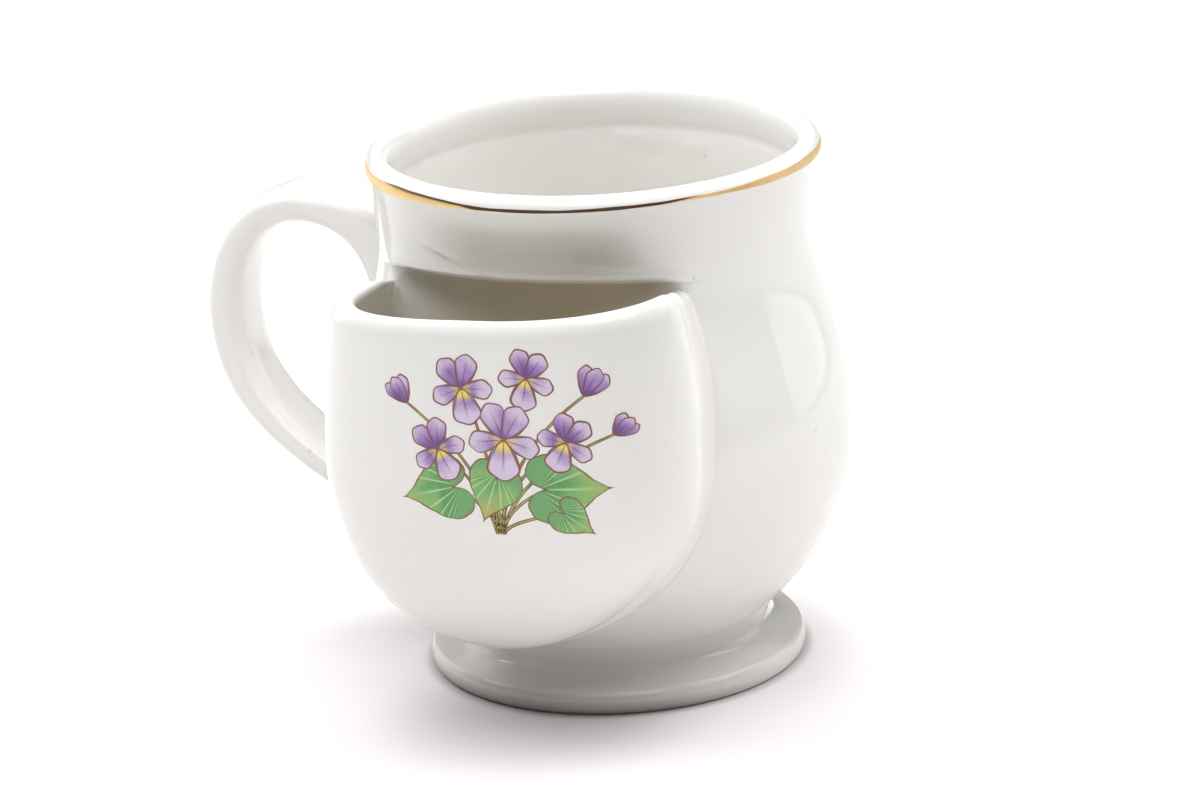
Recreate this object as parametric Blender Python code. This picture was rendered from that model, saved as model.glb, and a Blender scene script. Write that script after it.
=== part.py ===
"""Porcelain shaving scuttle: a bellied cup on a flared foot, with a brush pocket in front and a strap handle.

Metres, +Z up. The pocket faces -Y, the handle points to -X, and the foot stands on Z = 0. The origin is the
middle of the footprint. The cup's own axis is an empty beside it, and every piece hangs from that axis.
Heights of the cup, pocket and handle are measured from the underside of the cup.
"""

import math

import bpy
from mathutils import Vector

# Luted joints: a film of slip between two clay pieces, with a hairline of clearance on each side
CLEARANCE = 0.0003
SLIP_FILM = 0.0006
JOINT = SLIP_FILM + 2 * CLEARANCE

# Foot: a hollow flared ring
FOOT_HEIGHT = 0.0083
FOOT_RADIUS = 0.0349
FOOT_EDGE = 0.0043
FOOT_WALL = 0.0042
FOOT_BEARING_WIDTH = 0.0046

# Cup: turned outline from the waist over the belly and the neck to the rolled lip
CUP_HEIGHT = 0.08925
WAIST_RADIUS = 0.0278
BELLY_RADIUS = 0.0472
BELLY_HEIGHT = 0.0365
BELLY_FULLNESS = 2.15
NECK_RADIUS = 0.0399
NECK_HEIGHT = 0.0725
NECK_SWEEP = 1.7
CUP_WALL = 0.0034
CUP_FLOOR = 0.0045
LIP_OUTER_RADIUS = 0.0414
LIP_HALF_WIDTH = 0.0024
LIP_OUTER_DROP = 0.00285
LIP_INNER_DROP = 0.0015
LIP_INNER_FACE = 0.0046

# Gilt line: a thin band let into the outside of the lip
GILT_RISE = 0.0012
GILT_WIDTH = 0.0016
GILT_THICKNESS = 0.0004

# Pocket: a squarish pouch luted to the belly, open at the top, with a flat back wall inside the cup
POCKET_STANDOFF = 0.0108
POCKET_HALF_WIDTH = 0.03537
POCKET_FRONT_DEPTH = 0.018
POCKET_REAR_DEPTH = 0.03
POCKET_WIDEST_HEIGHT = 0.0415
POCKET_DROP = 0.03639
POCKET_RISE = 0.062
POCKET_SQUARENESS = 2.5
POCKET_TOP_FULLNESS = (1.85, 2.5)
POCKET_BOTTOM_FULLNESS = (2.32, 1.9)
POCKET_SHIFT = -0.00084
POCKET_LEAN_TOP = 0.00109
POCKET_LEAN_BOTTOM = 0.00544
POCKET_LEAN_CURVE = 1.7
POCKET_WALL = 0.0033
POCKET_LIP_HEIGHT = 0.0706
POCKET_LIP_SWEEP = 0.0012
POCKET_LIP_TILT = 0.0033
POCKET_LIP_ROUND = 0.0013
POCKET_EAR_DROP = 0.0032
HOOD_HEIGHT = 0.0737
HOOD_DROP = 0.0017
HOOD_DEPTH = 0.0095

# Handle: a flattened strap from the neck out over the crest and down to the belly
HANDLE_ROOT_HEIGHT = 0.0631
HANDLE_CREST_STANDOFF = 0.0105
HANDLE_CREST_HEIGHT = 0.0742
HANDLE_STANDOFF = 0.0275
HANDLE_BEND_HEIGHT = 0.0525
HANDLE_HEEL_HEIGHT = 0.0115
HANDLE_WIDTH = 0.0145
HANDLE_THICKNESS = 0.0071
HANDLE_HEEL_THICKNESS = 0.0056
HANDLE_ROOT_DEPTH = 0.022
HANDLE_SQUARENESS = 2.8

# Facets
TURN_STEPS = 56
POCKET_STEPS = 44
HANDLE_SIDES = 16
STRAP_STEPS = 10
MERGE_DISTANCE = 0.00001

# Places worked out from the sizes above
CUP_BASE = FOOT_HEIGHT + JOINT
LIP_EQUATOR = CUP_HEIGHT - LIP_OUTER_DROP
LIP_EDGE = CUP_HEIGHT - LIP_INNER_DROP
LIP_CROWN = LIP_OUTER_RADIUS - LIP_HALF_WIDTH
POCKET_REACH = BELLY_RADIUS + POCKET_STANDOFF
POCKET_CENTRE = POCKET_REACH - POCKET_FRONT_DEPTH
POCKET_BACK = NECK_RADIUS - HOOD_DEPTH
HANDLE_REACH = BELLY_RADIUS + HANDLE_STANDOFF + HANDLE_THICKNESS / 2
AXIS_X = (HANDLE_REACH - BELLY_RADIUS) / 2
AXIS_Y = (POCKET_REACH - BELLY_RADIUS) / 2


def clear_scene():
    for thing in list(bpy.data.objects):
        bpy.data.objects.remove(thing, do_unlink=True)


def finish(name, colour, roughness, metallic=0.0):
    surface = bpy.data.materials.new(name)
    surface.use_nodes = True
    shader = surface.node_tree.nodes["Principled BSDF"]
    shader.inputs["Base Color"].default_value = (*colour, 1.0)
    shader.inputs["Roughness"].default_value = roughness
    shader.inputs["Metallic"].default_value = metallic
    return surface


def add_empty(name, location, parent=None):
    empty = bpy.data.objects.new(name, None)
    empty.location = location
    empty.parent = parent
    bpy.context.collection.objects.link(empty)
    return empty


def add_mesh(name, points, faces, parent, surface=None, edges=()):
    """A mesh object on its parent; without a surface it is a cutter, which isn't part of the model."""
    mesh = bpy.data.meshes.new(name)
    mesh.from_pydata(points, edges, faces)
    mesh.update()
    piece = bpy.data.objects.new(name, mesh)
    piece.parent = parent
    bpy.context.collection.objects.link(piece)
    if surface is None:
        piece.hide_render = True
        piece.display_type = "WIRE"
    else:
        mesh.materials.append(surface)
        mesh.shade_smooth()
        mesh.set_sharp_from_angle(angle=math.radians(40))
    return piece


def shape(target, operation, cutter):
    """Boolean of the target with a cutter: DIFFERENCE, INTERSECT or UNION."""
    modifier = target.modifiers.new(cutter.name, "BOOLEAN")
    modifier.operation = operation
    modifier.solver = "EXACT"
    modifier.object = cutter
    return target


def turned(name, outline, parent, surface=None):
    """A solid of revolution; the outline is (radius, height) pairs with the outside running downwards."""
    closed = outline[0] == outline[-1]
    points = [(radius, 0.0, height) for radius, height in outline]
    if closed:
        points.pop()
    links = [(row, (row + 1) % len(points)) for row in range(len(outline) - 1)]
    piece = add_mesh(name, points, [], parent, surface, links)
    screw = piece.modifiers.new("turn", "SCREW")
    screw.steps = TURN_STEPS
    screw.render_steps = TURN_STEPS
    screw.use_merge_vertices = True
    screw.merge_threshold = MERGE_DISTANCE
    return piece


def skin_between(rings):
    """Quads between neighbouring rings of point numbers."""
    faces = []
    for upper, lower in zip(rings, rings[1:]):
        for here in range(len(upper)):
            there = (here + 1) % len(upper)
            faces.append([upper[here], lower[here], lower[there], upper[there]])
    return faces


def lofted(name, rings, parent, surface=None):
    """A solid skinned over closed rings of points, each end capped with a fan about its middle."""
    count = len(rings[0])
    points = [point for ring in rings for point in ring]
    numbers = [list(range(row * count, (row + 1) * count)) for row in range(len(rings))]
    faces = skin_between(numbers)
    for ring, edge in ((rings[0], numbers[0]), (rings[-1], numbers[-1][::-1])):
        middle = len(points)
        points.append(sum(ring, Vector()) / count)
        faces += [[edge[here], edge[(here + 1) % count], middle] for here in range(count)]
    return add_mesh(name, points, faces, parent, surface)


def smooth_step(fraction):
    return fraction * fraction * (3 - 2 * fraction)


def cup_radius(height):
    """Outside radius of the cup: full lower belly, S-shaped shoulder, then the neck's outward sweep."""
    if height < BELLY_HEIGHT:
        short = 1 - max(height, 0.0) / BELLY_HEIGHT
        return WAIST_RADIUS + (BELLY_RADIUS - WAIST_RADIUS) * (1 - short ** BELLY_FULLNESS)
    if height < NECK_HEIGHT:
        along = (height - BELLY_HEIGHT) / (NECK_HEIGHT - BELLY_HEIGHT)
        return BELLY_RADIUS - (BELLY_RADIUS - NECK_RADIUS) * smooth_step(along)
    along = (height - NECK_HEIGHT) / (LIP_EQUATOR - NECK_HEIGHT)
    return NECK_RADIUS + (LIP_OUTER_RADIUS - NECK_RADIUS) * along ** NECK_SWEEP


def lip_radius(height):
    """Outside radius of the rolled lip, from its widest ring up to its crown."""
    lift = (height - LIP_EQUATOR) / LIP_OUTER_DROP
    return LIP_CROWN + LIP_HALF_WIDTH * math.sqrt(max(0.0, 1 - lift * lift))


def cup_skin(height, offset):
    """Point on the cup's outside at a height, moved by offset along the outward normal."""
    step = 0.0002
    slope = (cup_radius(height + step) - cup_radius(height - step)) / (2 * step)
    length = math.hypot(1.0, slope)
    return cup_radius(height) + offset / length, height - offset * slope / length


def cup_heights(top):
    """Heights of the turned rings from top down to the waist, closer together low on the belly."""
    count = 16
    return [top * (1 - (row / count) ** 0.8) for row in range(count + 1)]


def cup_solid(name, offset, parent):
    """The cup's outside as a full solid, grown or shrunk by offset; used to cut its neighbours."""
    outline = [(0.0, CUP_HEIGHT + offset), (LIP_CROWN, CUP_HEIGHT + offset)]
    outline += [cup_skin(height, offset) for height in cup_heights(LIP_EQUATOR)[:-1]]
    outline += [(WAIST_RADIUS + offset, -offset), (0.0, -offset)]
    return turned(name, outline, parent)


def cup_outline():
    """Closed outline of the cup's wall: inside from the floor up, over the lip, outside down to the base."""
    undercut = LIP_EDGE - LIP_INNER_FACE
    inside = [cup_skin(height, -CUP_WALL) for height in cup_heights(undercut - CUP_WALL / 3)]
    inside = [point for point in reversed(inside) if point[1] > CUP_FLOOR + CUP_WALL / 4]
    corner_radius = inside[0][0] - CUP_WALL / 2
    outline = [(0.0, CUP_FLOOR), (corner_radius, CUP_FLOOR)] + inside

    groove_top = LIP_EQUATOR + GILT_RISE + CLEARANCE
    groove_bottom = LIP_EQUATOR + GILT_RISE - GILT_WIDTH - CLEARANCE
    depth = GILT_THICKNESS + CLEARANCE
    outline.append((LIP_CROWN - LIP_HALF_WIDTH, undercut))
    for row in range(4):
        turn = math.pi / 2 * (2 - row / 4)
        height = LIP_EDGE + LIP_INNER_DROP * math.sin(turn)
        outline.append((LIP_CROWN + LIP_HALF_WIDTH * math.cos(turn), height))
    for row in range(4):
        height = CUP_HEIGHT + (groove_top - CUP_HEIGHT) * row / 4
        outline.append((lip_radius(height), height))
    outline.append((lip_radius(groove_top), groove_top))
    outline.append((lip_radius(groove_top) - depth, groove_top))
    outline.append((LIP_OUTER_RADIUS - depth, LIP_EQUATOR))
    outline.append((cup_radius(groove_bottom) - depth, groove_bottom))
    outline += [cup_skin(height, 0.0) for height in cup_heights(groove_bottom)]
    outline.append((0.0, 0.0))
    return outline


def pouch_power(value):
    return math.copysign(abs(value) ** (2 / POCKET_SQUARENESS), value)


def pouch_lean(height):
    """How far aside the pouch stands: it leans from the handle above its widest ring, towards it below."""
    if height > POCKET_WIDEST_HEIGHT:
        along = min((height - POCKET_WIDEST_HEIGHT) / (POCKET_LIP_HEIGHT - POCKET_WIDEST_HEIGHT), 1.0)
        return POCKET_SHIFT + POCKET_LEAN_TOP * math.sin(math.pi / 2 * along)
    along = (POCKET_WIDEST_HEIGHT - height) / POCKET_DROP
    return POCKET_SHIFT - POCKET_LEAN_BOTTOM * along**POCKET_LEAN_CURVE


def pouch_point(angle, height, inset, drop):
    """Point of the pouch, a squarish ellipsoid in front of the axis; angle 0 is its front."""
    above = height > POCKET_WIDEST_HEIGHT
    away = abs(height - POCKET_WIDEST_HEIGHT) / (POCKET_RISE if above else drop)
    front = smooth_step(min(max(2 * math.cos(angle) + 0.5, 0.0), 1.0))
    at_rear, at_front = POCKET_TOP_FULLNESS if above else POCKET_BOTTOM_FULLNESS
    power = at_rear + (at_front - at_rear) * front
    swell = max(0.0, 1 - away ** power) ** (1 / power)
    depth = POCKET_FRONT_DEPTH if math.cos(angle) > 0 else POCKET_REAR_DEPTH
    across = ((POCKET_HALF_WIDTH - inset[0]) * swell - inset[1]) * pouch_power(math.sin(angle))
    out = ((depth - inset[0]) * swell - inset[1]) * pouch_power(math.cos(angle))
    return Vector((across + pouch_lean(height), -(POCKET_CENTRE + out), height))


def lip_height(angle):
    """Height of the pocket's lip: higher away from the handle, falling again where it meets the cup there."""
    turn = math.degrees(angle) % 360
    fall = smooth_step(min(max((turn - 72) / 40, 0.0), 1.0))
    fall -= smooth_step(min(max((turn - 180) / 50, 0.0), 1.0))
    rise = POCKET_LIP_SWEEP * math.sin(angle) ** 2 + POCKET_LIP_TILT * math.sin(angle)
    return POCKET_LIP_HEIGHT + rise - POCKET_EAR_DROP * fall


def hood_height(angle):
    """Height of the hood over the pocket, which drops from the front to the sides."""
    return HOOD_HEIGHT - HOOD_DROP * math.sin(angle) ** 2


def pouch_rings(wall, floor, levels):
    """Rings of the pouch from its lowest point up; levels give (height, inset) above the widest ring."""
    angles = [2 * math.pi * (step + 0.5) / POCKET_STEPS for step in range(POCKET_STEPS)]
    drop = POCKET_DROP - floor
    rings = []
    for row in range(1, 10):
        turn = math.pi / 2 * row / 9
        height = POCKET_WIDEST_HEIGHT - drop * math.cos(turn) ** (2 / POCKET_SQUARENESS)
        rings.append([pouch_point(angle, height, (wall, 0.0), drop) for angle in angles])
    for level in levels:
        ring = []
        for angle in angles:
            height, extra = level(angle)
            ring.append(pouch_point(angle, height, (wall, extra), drop))
        rings.append(ring)
    return rings[::-1]


def rising_levels(top, count, last):
    """Levels from the widest ring to a top height that may change round the pouch."""
    def level(share):
        def at(angle):
            return POCKET_WIDEST_HEIGHT + (top(angle) - POCKET_WIDEST_HEIGHT) * share, 0.0
        return at
    return [level(row / count) for row in range(1, count + last)]


def rounding_levels(sign):
    """Levels that roll the lip over: inwards on the outside (sign 1), outwards on the inside (sign -1)."""
    def level(turn):
        def at(angle):
            height = lip_height(angle) - POCKET_LIP_ROUND * (1 - math.sin(turn))
            return height, sign * POCKET_LIP_ROUND * (1 - math.cos(turn))
        return at
    return [level(math.pi / 2 * row / 3) for row in range(4)]


def below_lip(angle):
    return lip_height(angle) - POCKET_LIP_ROUND


def above_lip(angle):
    return lip_height(angle) + POCKET_WALL, -POCKET_LIP_ROUND


def pocket_outside(name, parent, surface=None):
    levels = rising_levels(below_lip, 5, 0) + rounding_levels(1)
    return lofted(name, pouch_rings(0.0, 0.0, levels), parent, surface)


def pocket_inside(parent):
    """The pocket's hollow, carried up past the lip."""
    levels = rising_levels(below_lip, 5, 0) + rounding_levels(-1) + [above_lip]
    return lofted("pocket_hollow", pouch_rings(POCKET_WALL, POCKET_WALL, levels), parent)


def block(name, low, high, parent):
    """A box from its low corner to its high corner, as a cutter."""
    points = [Vector((x, y, z)) for z in (high[2], low[2])
              for x, y in ((low[0], low[1]), (high[0], low[1]), (high[0], high[1]), (low[0], high[1]))]
    return lofted(name, [points[:4], points[4:]], parent)


def niche(parent):
    """The part of the pocket's hollow that is let into the cup: under the hood, in front of the back wall."""
    levels = rising_levels(hood_height, 5, 1)
    hollow = lofted("niche", pouch_rings(POCKET_WALL, POCKET_WALL, levels), parent)
    far = 2 * BELLY_RADIUS
    behind = block("behind_back_wall", (-far, -POCKET_BACK, -far), (far, far, far), parent)
    return shape(hollow, "DIFFERENCE", behind)


def back_wall(parent):
    """Clay behind the niche: a flat wall with a sloping top, ending inside the cup's own wall."""
    low = CUP_FLOOR / 2
    high = HOOD_HEIGHT + CUP_WALL
    sides = [[Vector((across, -BELLY_RADIUS, low)), Vector((across, -BELLY_RADIUS, high + 2 * CUP_WALL)),
              Vector((across, CUP_WALL - POCKET_BACK, high)), Vector((across, CUP_WALL - POCKET_BACK, low))]
             for across in (BELLY_RADIUS, -BELLY_RADIUS)]
    slab = lofted("back_wall", sides, parent)
    return shape(slab, "INTERSECT", cup_solid("inside_cup_wall", -CUP_WALL / 2, parent))


def strap_curve(corners, share):
    """Point and direction on a cubic curve given by its four corners, as (out, height) pairs."""
    rest = 1 - share
    weights = (rest ** 3, 3 * rest ** 2 * share, 3 * rest * share ** 2, share ** 3)
    slopes = (-3 * rest ** 2, 3 * rest ** 2 - 6 * rest * share,
              6 * rest * share - 3 * share ** 2, 3 * share ** 2)
    point = [sum(weight * corner[axis] for weight, corner in zip(weights, corners)) for axis in (0, 1)]
    heading = [sum(slope * corner[axis] for slope, corner in zip(slopes, corners)) for axis in (0, 1)]
    return Vector(point), Vector(heading).normalized()


def strap_corners():
    """The strap's three curves: root to crest, crest to bend, bend to heel."""
    root = (cup_radius(HANDLE_ROOT_HEIGHT) - 1.5 * CUP_WALL, HANDLE_ROOT_HEIGHT)
    crest = (BELLY_RADIUS + HANDLE_CREST_STANDOFF, HANDLE_CREST_HEIGHT)
    bend = (BELLY_RADIUS + HANDLE_STANDOFF, HANDLE_BEND_HEIGHT)
    heel = (cup_radius(HANDLE_HEEL_HEIGHT) - CUP_WALL / 2, HANDLE_HEEL_HEIGHT)
    climb = crest[1] - root[1]
    fall = crest[1] - bend[1]
    drop = bend[1] - heel[1]
    into_root = (root[0] + 0.3 * (crest[0] - root[0]), root[1] + 0.75 * climb)
    before_crest = (crest[0] - 0.4 * (crest[0] - root[0]), crest[1])
    after_crest = (crest[0] + 0.6 * (bend[0] - crest[0]), crest[1])
    above_bend = (bend[0], bend[1] + 0.5 * fall)
    below_bend = (bend[0], bend[1] - 0.56 * drop)
    before_heel = (heel[0] + 0.45 * (bend[0] - heel[0]), heel[1] + 0.31 * drop)
    return ((root, into_root, before_crest, crest),
            (crest, after_crest, above_bend, bend),
            (bend, below_bend, before_heel, heel))


def strap_thickness(piece, share):
    """Thickness of the strap: deep at the root, even over the bend, thinner to the heel."""
    if piece == 0:
        return HANDLE_THICKNESS + (HANDLE_ROOT_DEPTH - HANDLE_THICKNESS) * (1 - share) ** 2
    if piece == 1:
        return HANDLE_THICKNESS
    return HANDLE_THICKNESS + (HANDLE_HEEL_THICKNESS - HANDLE_THICKNESS) * share


def strap_ring(piece, share):
    """Squarish oval section of the strap, square to its path; the handle points to -X."""
    centre, heading = strap_curve(strap_corners()[piece], share)
    normal = Vector((-heading[1], heading[0]))
    half_thickness = strap_thickness(piece, share) / 2
    ring = []
    for side in range(HANDLE_SIDES):
        angle = 2 * math.pi * side / HANDLE_SIDES
        lift = math.copysign(abs(math.sin(angle)) ** (2 / HANDLE_SQUARENESS), math.sin(angle))
        across = math.copysign(abs(math.cos(angle)) ** (2 / HANDLE_SQUARENESS), math.cos(angle))
        spot = centre + normal * lift * half_thickness
        ring.append(Vector((-spot[0], across * HANDLE_WIDTH / 2, spot[1])))
    return ring


def strap(name, pieces, parent, surface):
    """The strap along some of its three curves."""
    rings = []
    for piece in pieces:
        first = 0 if not rings else 1
        rings += [strap_ring(piece, step / STRAP_STEPS) for step in range(first, STRAP_STEPS + 1)]
    return lofted(name, rings, parent, surface)


def make_foot(axis, clay):
    """Hollow flared foot: flat bearing ring, rounded edge, hollow curve up to the waist."""
    bearing_outer = FOOT_RADIUS - FOOT_EDGE / 4
    bearing_inner = bearing_outer - FOOT_BEARING_WIDTH
    throat = WAIST_RADIUS - FOOT_WALL
    outline = [(throat, FOOT_HEIGHT), (WAIST_RADIUS, FOOT_HEIGHT)]
    flare = FOOT_RADIUS - FOOT_EDGE / 4 - WAIST_RADIUS
    for row in range(1, 6):
        turn = math.pi / 2 * row / 5
        outline.append((WAIST_RADIUS + flare * (1 - math.cos(turn)),
                        FOOT_HEIGHT - (FOOT_HEIGHT - FOOT_EDGE) * math.sin(turn)))
    for row in range(1, 6):
        turn = math.pi * row / 6
        outline.append((bearing_outer + FOOT_EDGE / 4 * math.sin(turn), FOOT_EDGE / 2 * (1 + math.cos(turn))))
    outline += [(bearing_outer, 0.0), (bearing_inner, 0.0)]
    outline.append(((bearing_inner + throat) / 2, FOOT_HEIGHT / 2))
    outline.append((throat, FOOT_HEIGHT))
    return turned("pedestal_foot", outline, axis, clay)


def make_foot_slip(axis, slip):
    low = FOOT_HEIGHT + CLEARANCE
    high = low + SLIP_FILM
    throat = WAIST_RADIUS - FOOT_WALL
    outline = [(throat, high), (WAIST_RADIUS, high), (WAIST_RADIUS, low), (throat, low), (throat, high)]
    return turned("foot_slip_ring", outline, axis, slip)


def make_gilt_line(seat, gilt):
    top = LIP_EQUATOR + GILT_RISE
    bottom = top - GILT_WIDTH
    outline = [(lip_radius(top) - GILT_THICKNESS, top), (lip_radius(top), top)]
    outline.append((LIP_OUTER_RADIUS, LIP_EQUATOR))
    outline += [(cup_radius(bottom), bottom), (cup_radius(bottom) - GILT_THICKNESS, bottom)]
    outline.append((LIP_OUTER_RADIUS - GILT_THICKNESS, LIP_EQUATOR))
    outline.append(outline[0])
    return turned("rim_gilt_line", outline, seat, gilt)


def main():
    clear_scene()
    clay = finish("glazed_porcelain", (0.88, 0.88, 0.86), 0.12)
    slip = finish("fired_slip", (0.86, 0.86, 0.83), 0.2)
    gilt = finish("fired_gilt", (0.83, 0.58, 0.22), 0.22, 1.0)

    axis = add_empty("scuttle_axis", (AXIS_X, AXIS_Y, 0.0))
    seat = add_empty("cup_seat", (0.0, 0.0, CUP_BASE), axis)
    make_foot(axis, clay)
    make_foot_slip(axis, slip)

    cup = turned("cup_body", cup_outline(), seat, clay)
    shape(cup, "UNION", back_wall(seat))
    shape(cup, "DIFFERENCE", niche(seat))
    make_gilt_line(seat, gilt)

    under_slip = cup_solid("under_slip", CLEARANCE, seat)
    over_slip = cup_solid("over_slip", CLEARANCE + SLIP_FILM, seat)
    luted_face = cup_solid("luted_face", JOINT, seat)
    hollow = pocket_inside(seat)
    shape(shape(pocket_outside("brush_pocket", seat, clay), "DIFFERENCE", hollow), "DIFFERENCE", luted_face)
    seam = pocket_outside("pocket_slip_seam", seat, slip)
    shape(shape(seam, "DIFFERENCE", hollow), "INTERSECT", over_slip)
    shape(seam, "DIFFERENCE", under_slip)

    shape(strap("handle", (0, 1, 2), seat, clay), "DIFFERENCE", luted_face)
    for name, piece in (("handle_root_slip", 0), ("handle_heel_slip", 2)):
        pad = strap(name, (piece,), seat, slip)
        shape(shape(pad, "INTERSECT", over_slip), "DIFFERENCE", under_slip)


main()
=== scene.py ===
import math

import bmesh
import bpy
import numpy as np
from mathutils import Matrix, Vector


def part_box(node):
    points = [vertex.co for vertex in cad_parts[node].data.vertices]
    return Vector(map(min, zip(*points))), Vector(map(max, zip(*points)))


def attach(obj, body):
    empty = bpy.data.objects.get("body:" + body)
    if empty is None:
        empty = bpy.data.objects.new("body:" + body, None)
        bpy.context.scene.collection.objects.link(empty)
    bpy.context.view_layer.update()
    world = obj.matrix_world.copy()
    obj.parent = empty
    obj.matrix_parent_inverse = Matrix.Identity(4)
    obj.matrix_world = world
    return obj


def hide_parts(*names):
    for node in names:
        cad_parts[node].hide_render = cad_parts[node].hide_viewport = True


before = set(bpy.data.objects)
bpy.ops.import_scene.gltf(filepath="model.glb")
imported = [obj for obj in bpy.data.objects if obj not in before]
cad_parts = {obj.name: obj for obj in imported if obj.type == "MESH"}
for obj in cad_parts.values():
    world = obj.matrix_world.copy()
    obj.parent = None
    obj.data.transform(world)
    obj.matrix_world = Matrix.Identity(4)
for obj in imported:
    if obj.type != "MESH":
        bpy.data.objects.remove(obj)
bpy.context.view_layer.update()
scene = bpy.context.scene

# Foot
# A hollow flared ring that lifts the cup off the table. It is porcelain, turned in a plaster mould and
# luted to the cup with slip. The glaze is wiped off the bearing face, so that the pot doesn't stick in the
# kiln.
MM = 0.001
foot_low, foot_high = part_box("pedestal_foot")
AXIS = Vector(((foot_low.x + foot_high.x) / 2, (foot_low.y + foot_high.y) / 2, 0))
FOOT_TOP, FOOT_THROAT, FOOT_WAIST = 8.3, 23.6, 27.8
FOOT_SPREAD, FOOT_EDGE, FOOT_EDGE_BULGE, FOOT_BEARING = 33.825, 4.3, 1.075, 29.225
FOOT_STEPS = 240
MERGE_DISTANCE = 2e-6
# glaze, in millimetres: clouds of tint, ripple of the skin, and the grit of the biscuit under it
CLOUD_SIZE, RIPPLE_SIZE, RIPPLE_HEIGHT, GRIT_SIZE = 28.0, 11.0, 0.05, 0.6
# specks: size of the cell that holds one, size of the grain, its colour and how far it shows
SPECKS = ((5.0, 0.14, "#8E877E", 0.75), (11.0, 0.55, "#BFBBB6", 0.5))
# painted shade: a greyer tint where shade falls under the bead and under the hood, and a warmer one for the
# shade inside closed places
PAINTED_SHADE_TINT, WARM_PAINTED_SHADE_TINT = "#D1CBBF", "#D9CCAC"
BISCUIT_PALE, BISCUIT_DARK = "#EFE8DB", "#D9D0C0"
PORCELAIN_PALE, PORCELAIN_GREY = "#F4F3F0", "#EFEDE9"


def tone(srgb):
    """The linear colour of an sRGB hex value."""
    parts = [int(srgb[i : i + 2], 16) / 255 for i in (1, 3, 5)]
    return [p / 12.92 if p <= 0.04045 else ((p + 0.055) / 1.055) ** 2.4 for p in parts] + [1]


def add(tree, kind, inputs=None, **settings):
    """Adds a node with its settings, each input given as a value or as the socket that feeds it."""
    made = tree.nodes.new(kind)
    for name, value in settings.items():
        setattr(made, name, value)
    for name, value in (inputs or {}).items():
        if isinstance(value, bpy.types.NodeSocket):
            tree.links.new(value, made.inputs[name])
        else:
            made.inputs[name].default_value = value
    return made


def placed(name, data):
    """A new object in the scene."""
    made = bpy.data.objects.new(name, data)
    scene.collection.objects.link(made)
    return made


def bare_material(name):
    """A new material with nothing in its tree."""
    material = bpy.data.materials.new(name)
    material.use_nodes = True
    material.node_tree.nodes.clear()
    return material, material.node_tree


def glaze(name, pale, grey, wiped_below=None):
    """Clear glaze over white porcelain: a mirror-smooth skin with a slow ripple, faint clouds of tint where
    it lies thicker, and the few iron specks and soft grey spots that every firing leaves."""
    material, tree = bare_material(name)
    place = add(tree, "ShaderNodeTexCoord").outputs["Object"]
    clouds = add(
        tree, "ShaderNodeTexNoise", {"Vector": place, "Scale": 1 / (CLOUD_SIZE * MM), "Detail": 2.0}
    )
    colour = add(
        tree, "ShaderNodeMix", {0: clouds.outputs["Fac"], 6: tone(pale), 7: tone(grey)}, data_type="RGBA"
    )
    for cell, grain, shade, depth in SPECKS:
        cells = add(tree, "ShaderNodeTexVoronoi", {"Vector": place, "Scale": 1 / (cell * MM)})
        near = add(
            tree,
            "ShaderNodeMapRange",
            {
                "Value": cells.outputs["Distance"],
                "From Min": grain / cell,
                "From Max": 0.2 * grain / cell,
                "To Max": depth,
            },
            interpolation_type="SMOOTHSTEP",
        )
        colour = add(
            tree,
            "ShaderNodeMix",
            {0: near.outputs["Result"], 6: colour.outputs[2], 7: tone(shade)},
            data_type="RGBA",
        )
    gloss = add(
        tree,
        "ShaderNodeMapRange",
        {"Value": clouds.outputs["Fac"], "From Min": 0.3, "From Max": 0.7, "To Min": 0.04, "To Max": 0.09},
    ).outputs["Result"]
    # painted shade: each point's share of the greyer or the warmer shade tint, as written on the mesh
    pooled = add(tree, "ShaderNodeAttribute", attribute_name="pooled").outputs["Fac"]
    closed_in = add(tree, "ShaderNodeAttribute", attribute_name="closed_in").outputs["Fac"]
    tint = add(
        tree,
        "ShaderNodeMix",
        {0: closed_in, 6: tone(PAINTED_SHADE_TINT), 7: tone(WARM_PAINTED_SHADE_TINT)},
        data_type="RGBA",
    ).outputs[2]
    colour = add(
        tree, "ShaderNodeMix", {0: pooled, 6: colour.outputs[2], 7: tint}, data_type="RGBA"
    ).outputs[2]
    if wiped_below is not None:
        height = add(tree, "ShaderNodeSeparateXYZ", {0: place}).outputs["Z"]
        bare = add(
            tree, "ShaderNodeMath", {0: height, 1: wiped_below * MM}, operation="LESS_THAN"
        ).outputs[0]
        grit = add(
            tree, "ShaderNodeTexNoise", {"Vector": place, "Scale": 1 / (GRIT_SIZE * MM), "Detail": 3.0}
        ).outputs["Fac"]
        biscuit = add(
            tree, "ShaderNodeMix", {0: grit, 6: tone(BISCUIT_PALE), 7: tone(BISCUIT_DARK)}, data_type="RGBA"
        )
        colour = add(
            tree, "ShaderNodeMix", {0: bare, 6: colour, 7: biscuit.outputs[2]}, data_type="RGBA"
        ).outputs[2]
        gloss = add(tree, "ShaderNodeMix", {0: bare, 2: gloss, 3: 0.65}).outputs[0]
    ripple = add(
        tree,
        "ShaderNodeTexNoise",
        {"Vector": place, "Scale": 1 / (RIPPLE_SIZE * MM), "Detail": 1.5, "Roughness": 0.45},
    )
    skin = add(
        tree,
        "ShaderNodeBump",
        {"Strength": 1.0, "Distance": RIPPLE_HEIGHT * MM, "Height": ripple.outputs["Fac"]},
    )
    shader = add(
        tree,
        "ShaderNodeBsdfPrincipled",
        {"Base Color": colour, "Roughness": gloss, "IOR": 1.5, "Normal": skin.outputs["Normal"]},
    )
    add(tree, "ShaderNodeOutputMaterial", {"Surface": shader.outputs["BSDF"]})
    return material


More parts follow.
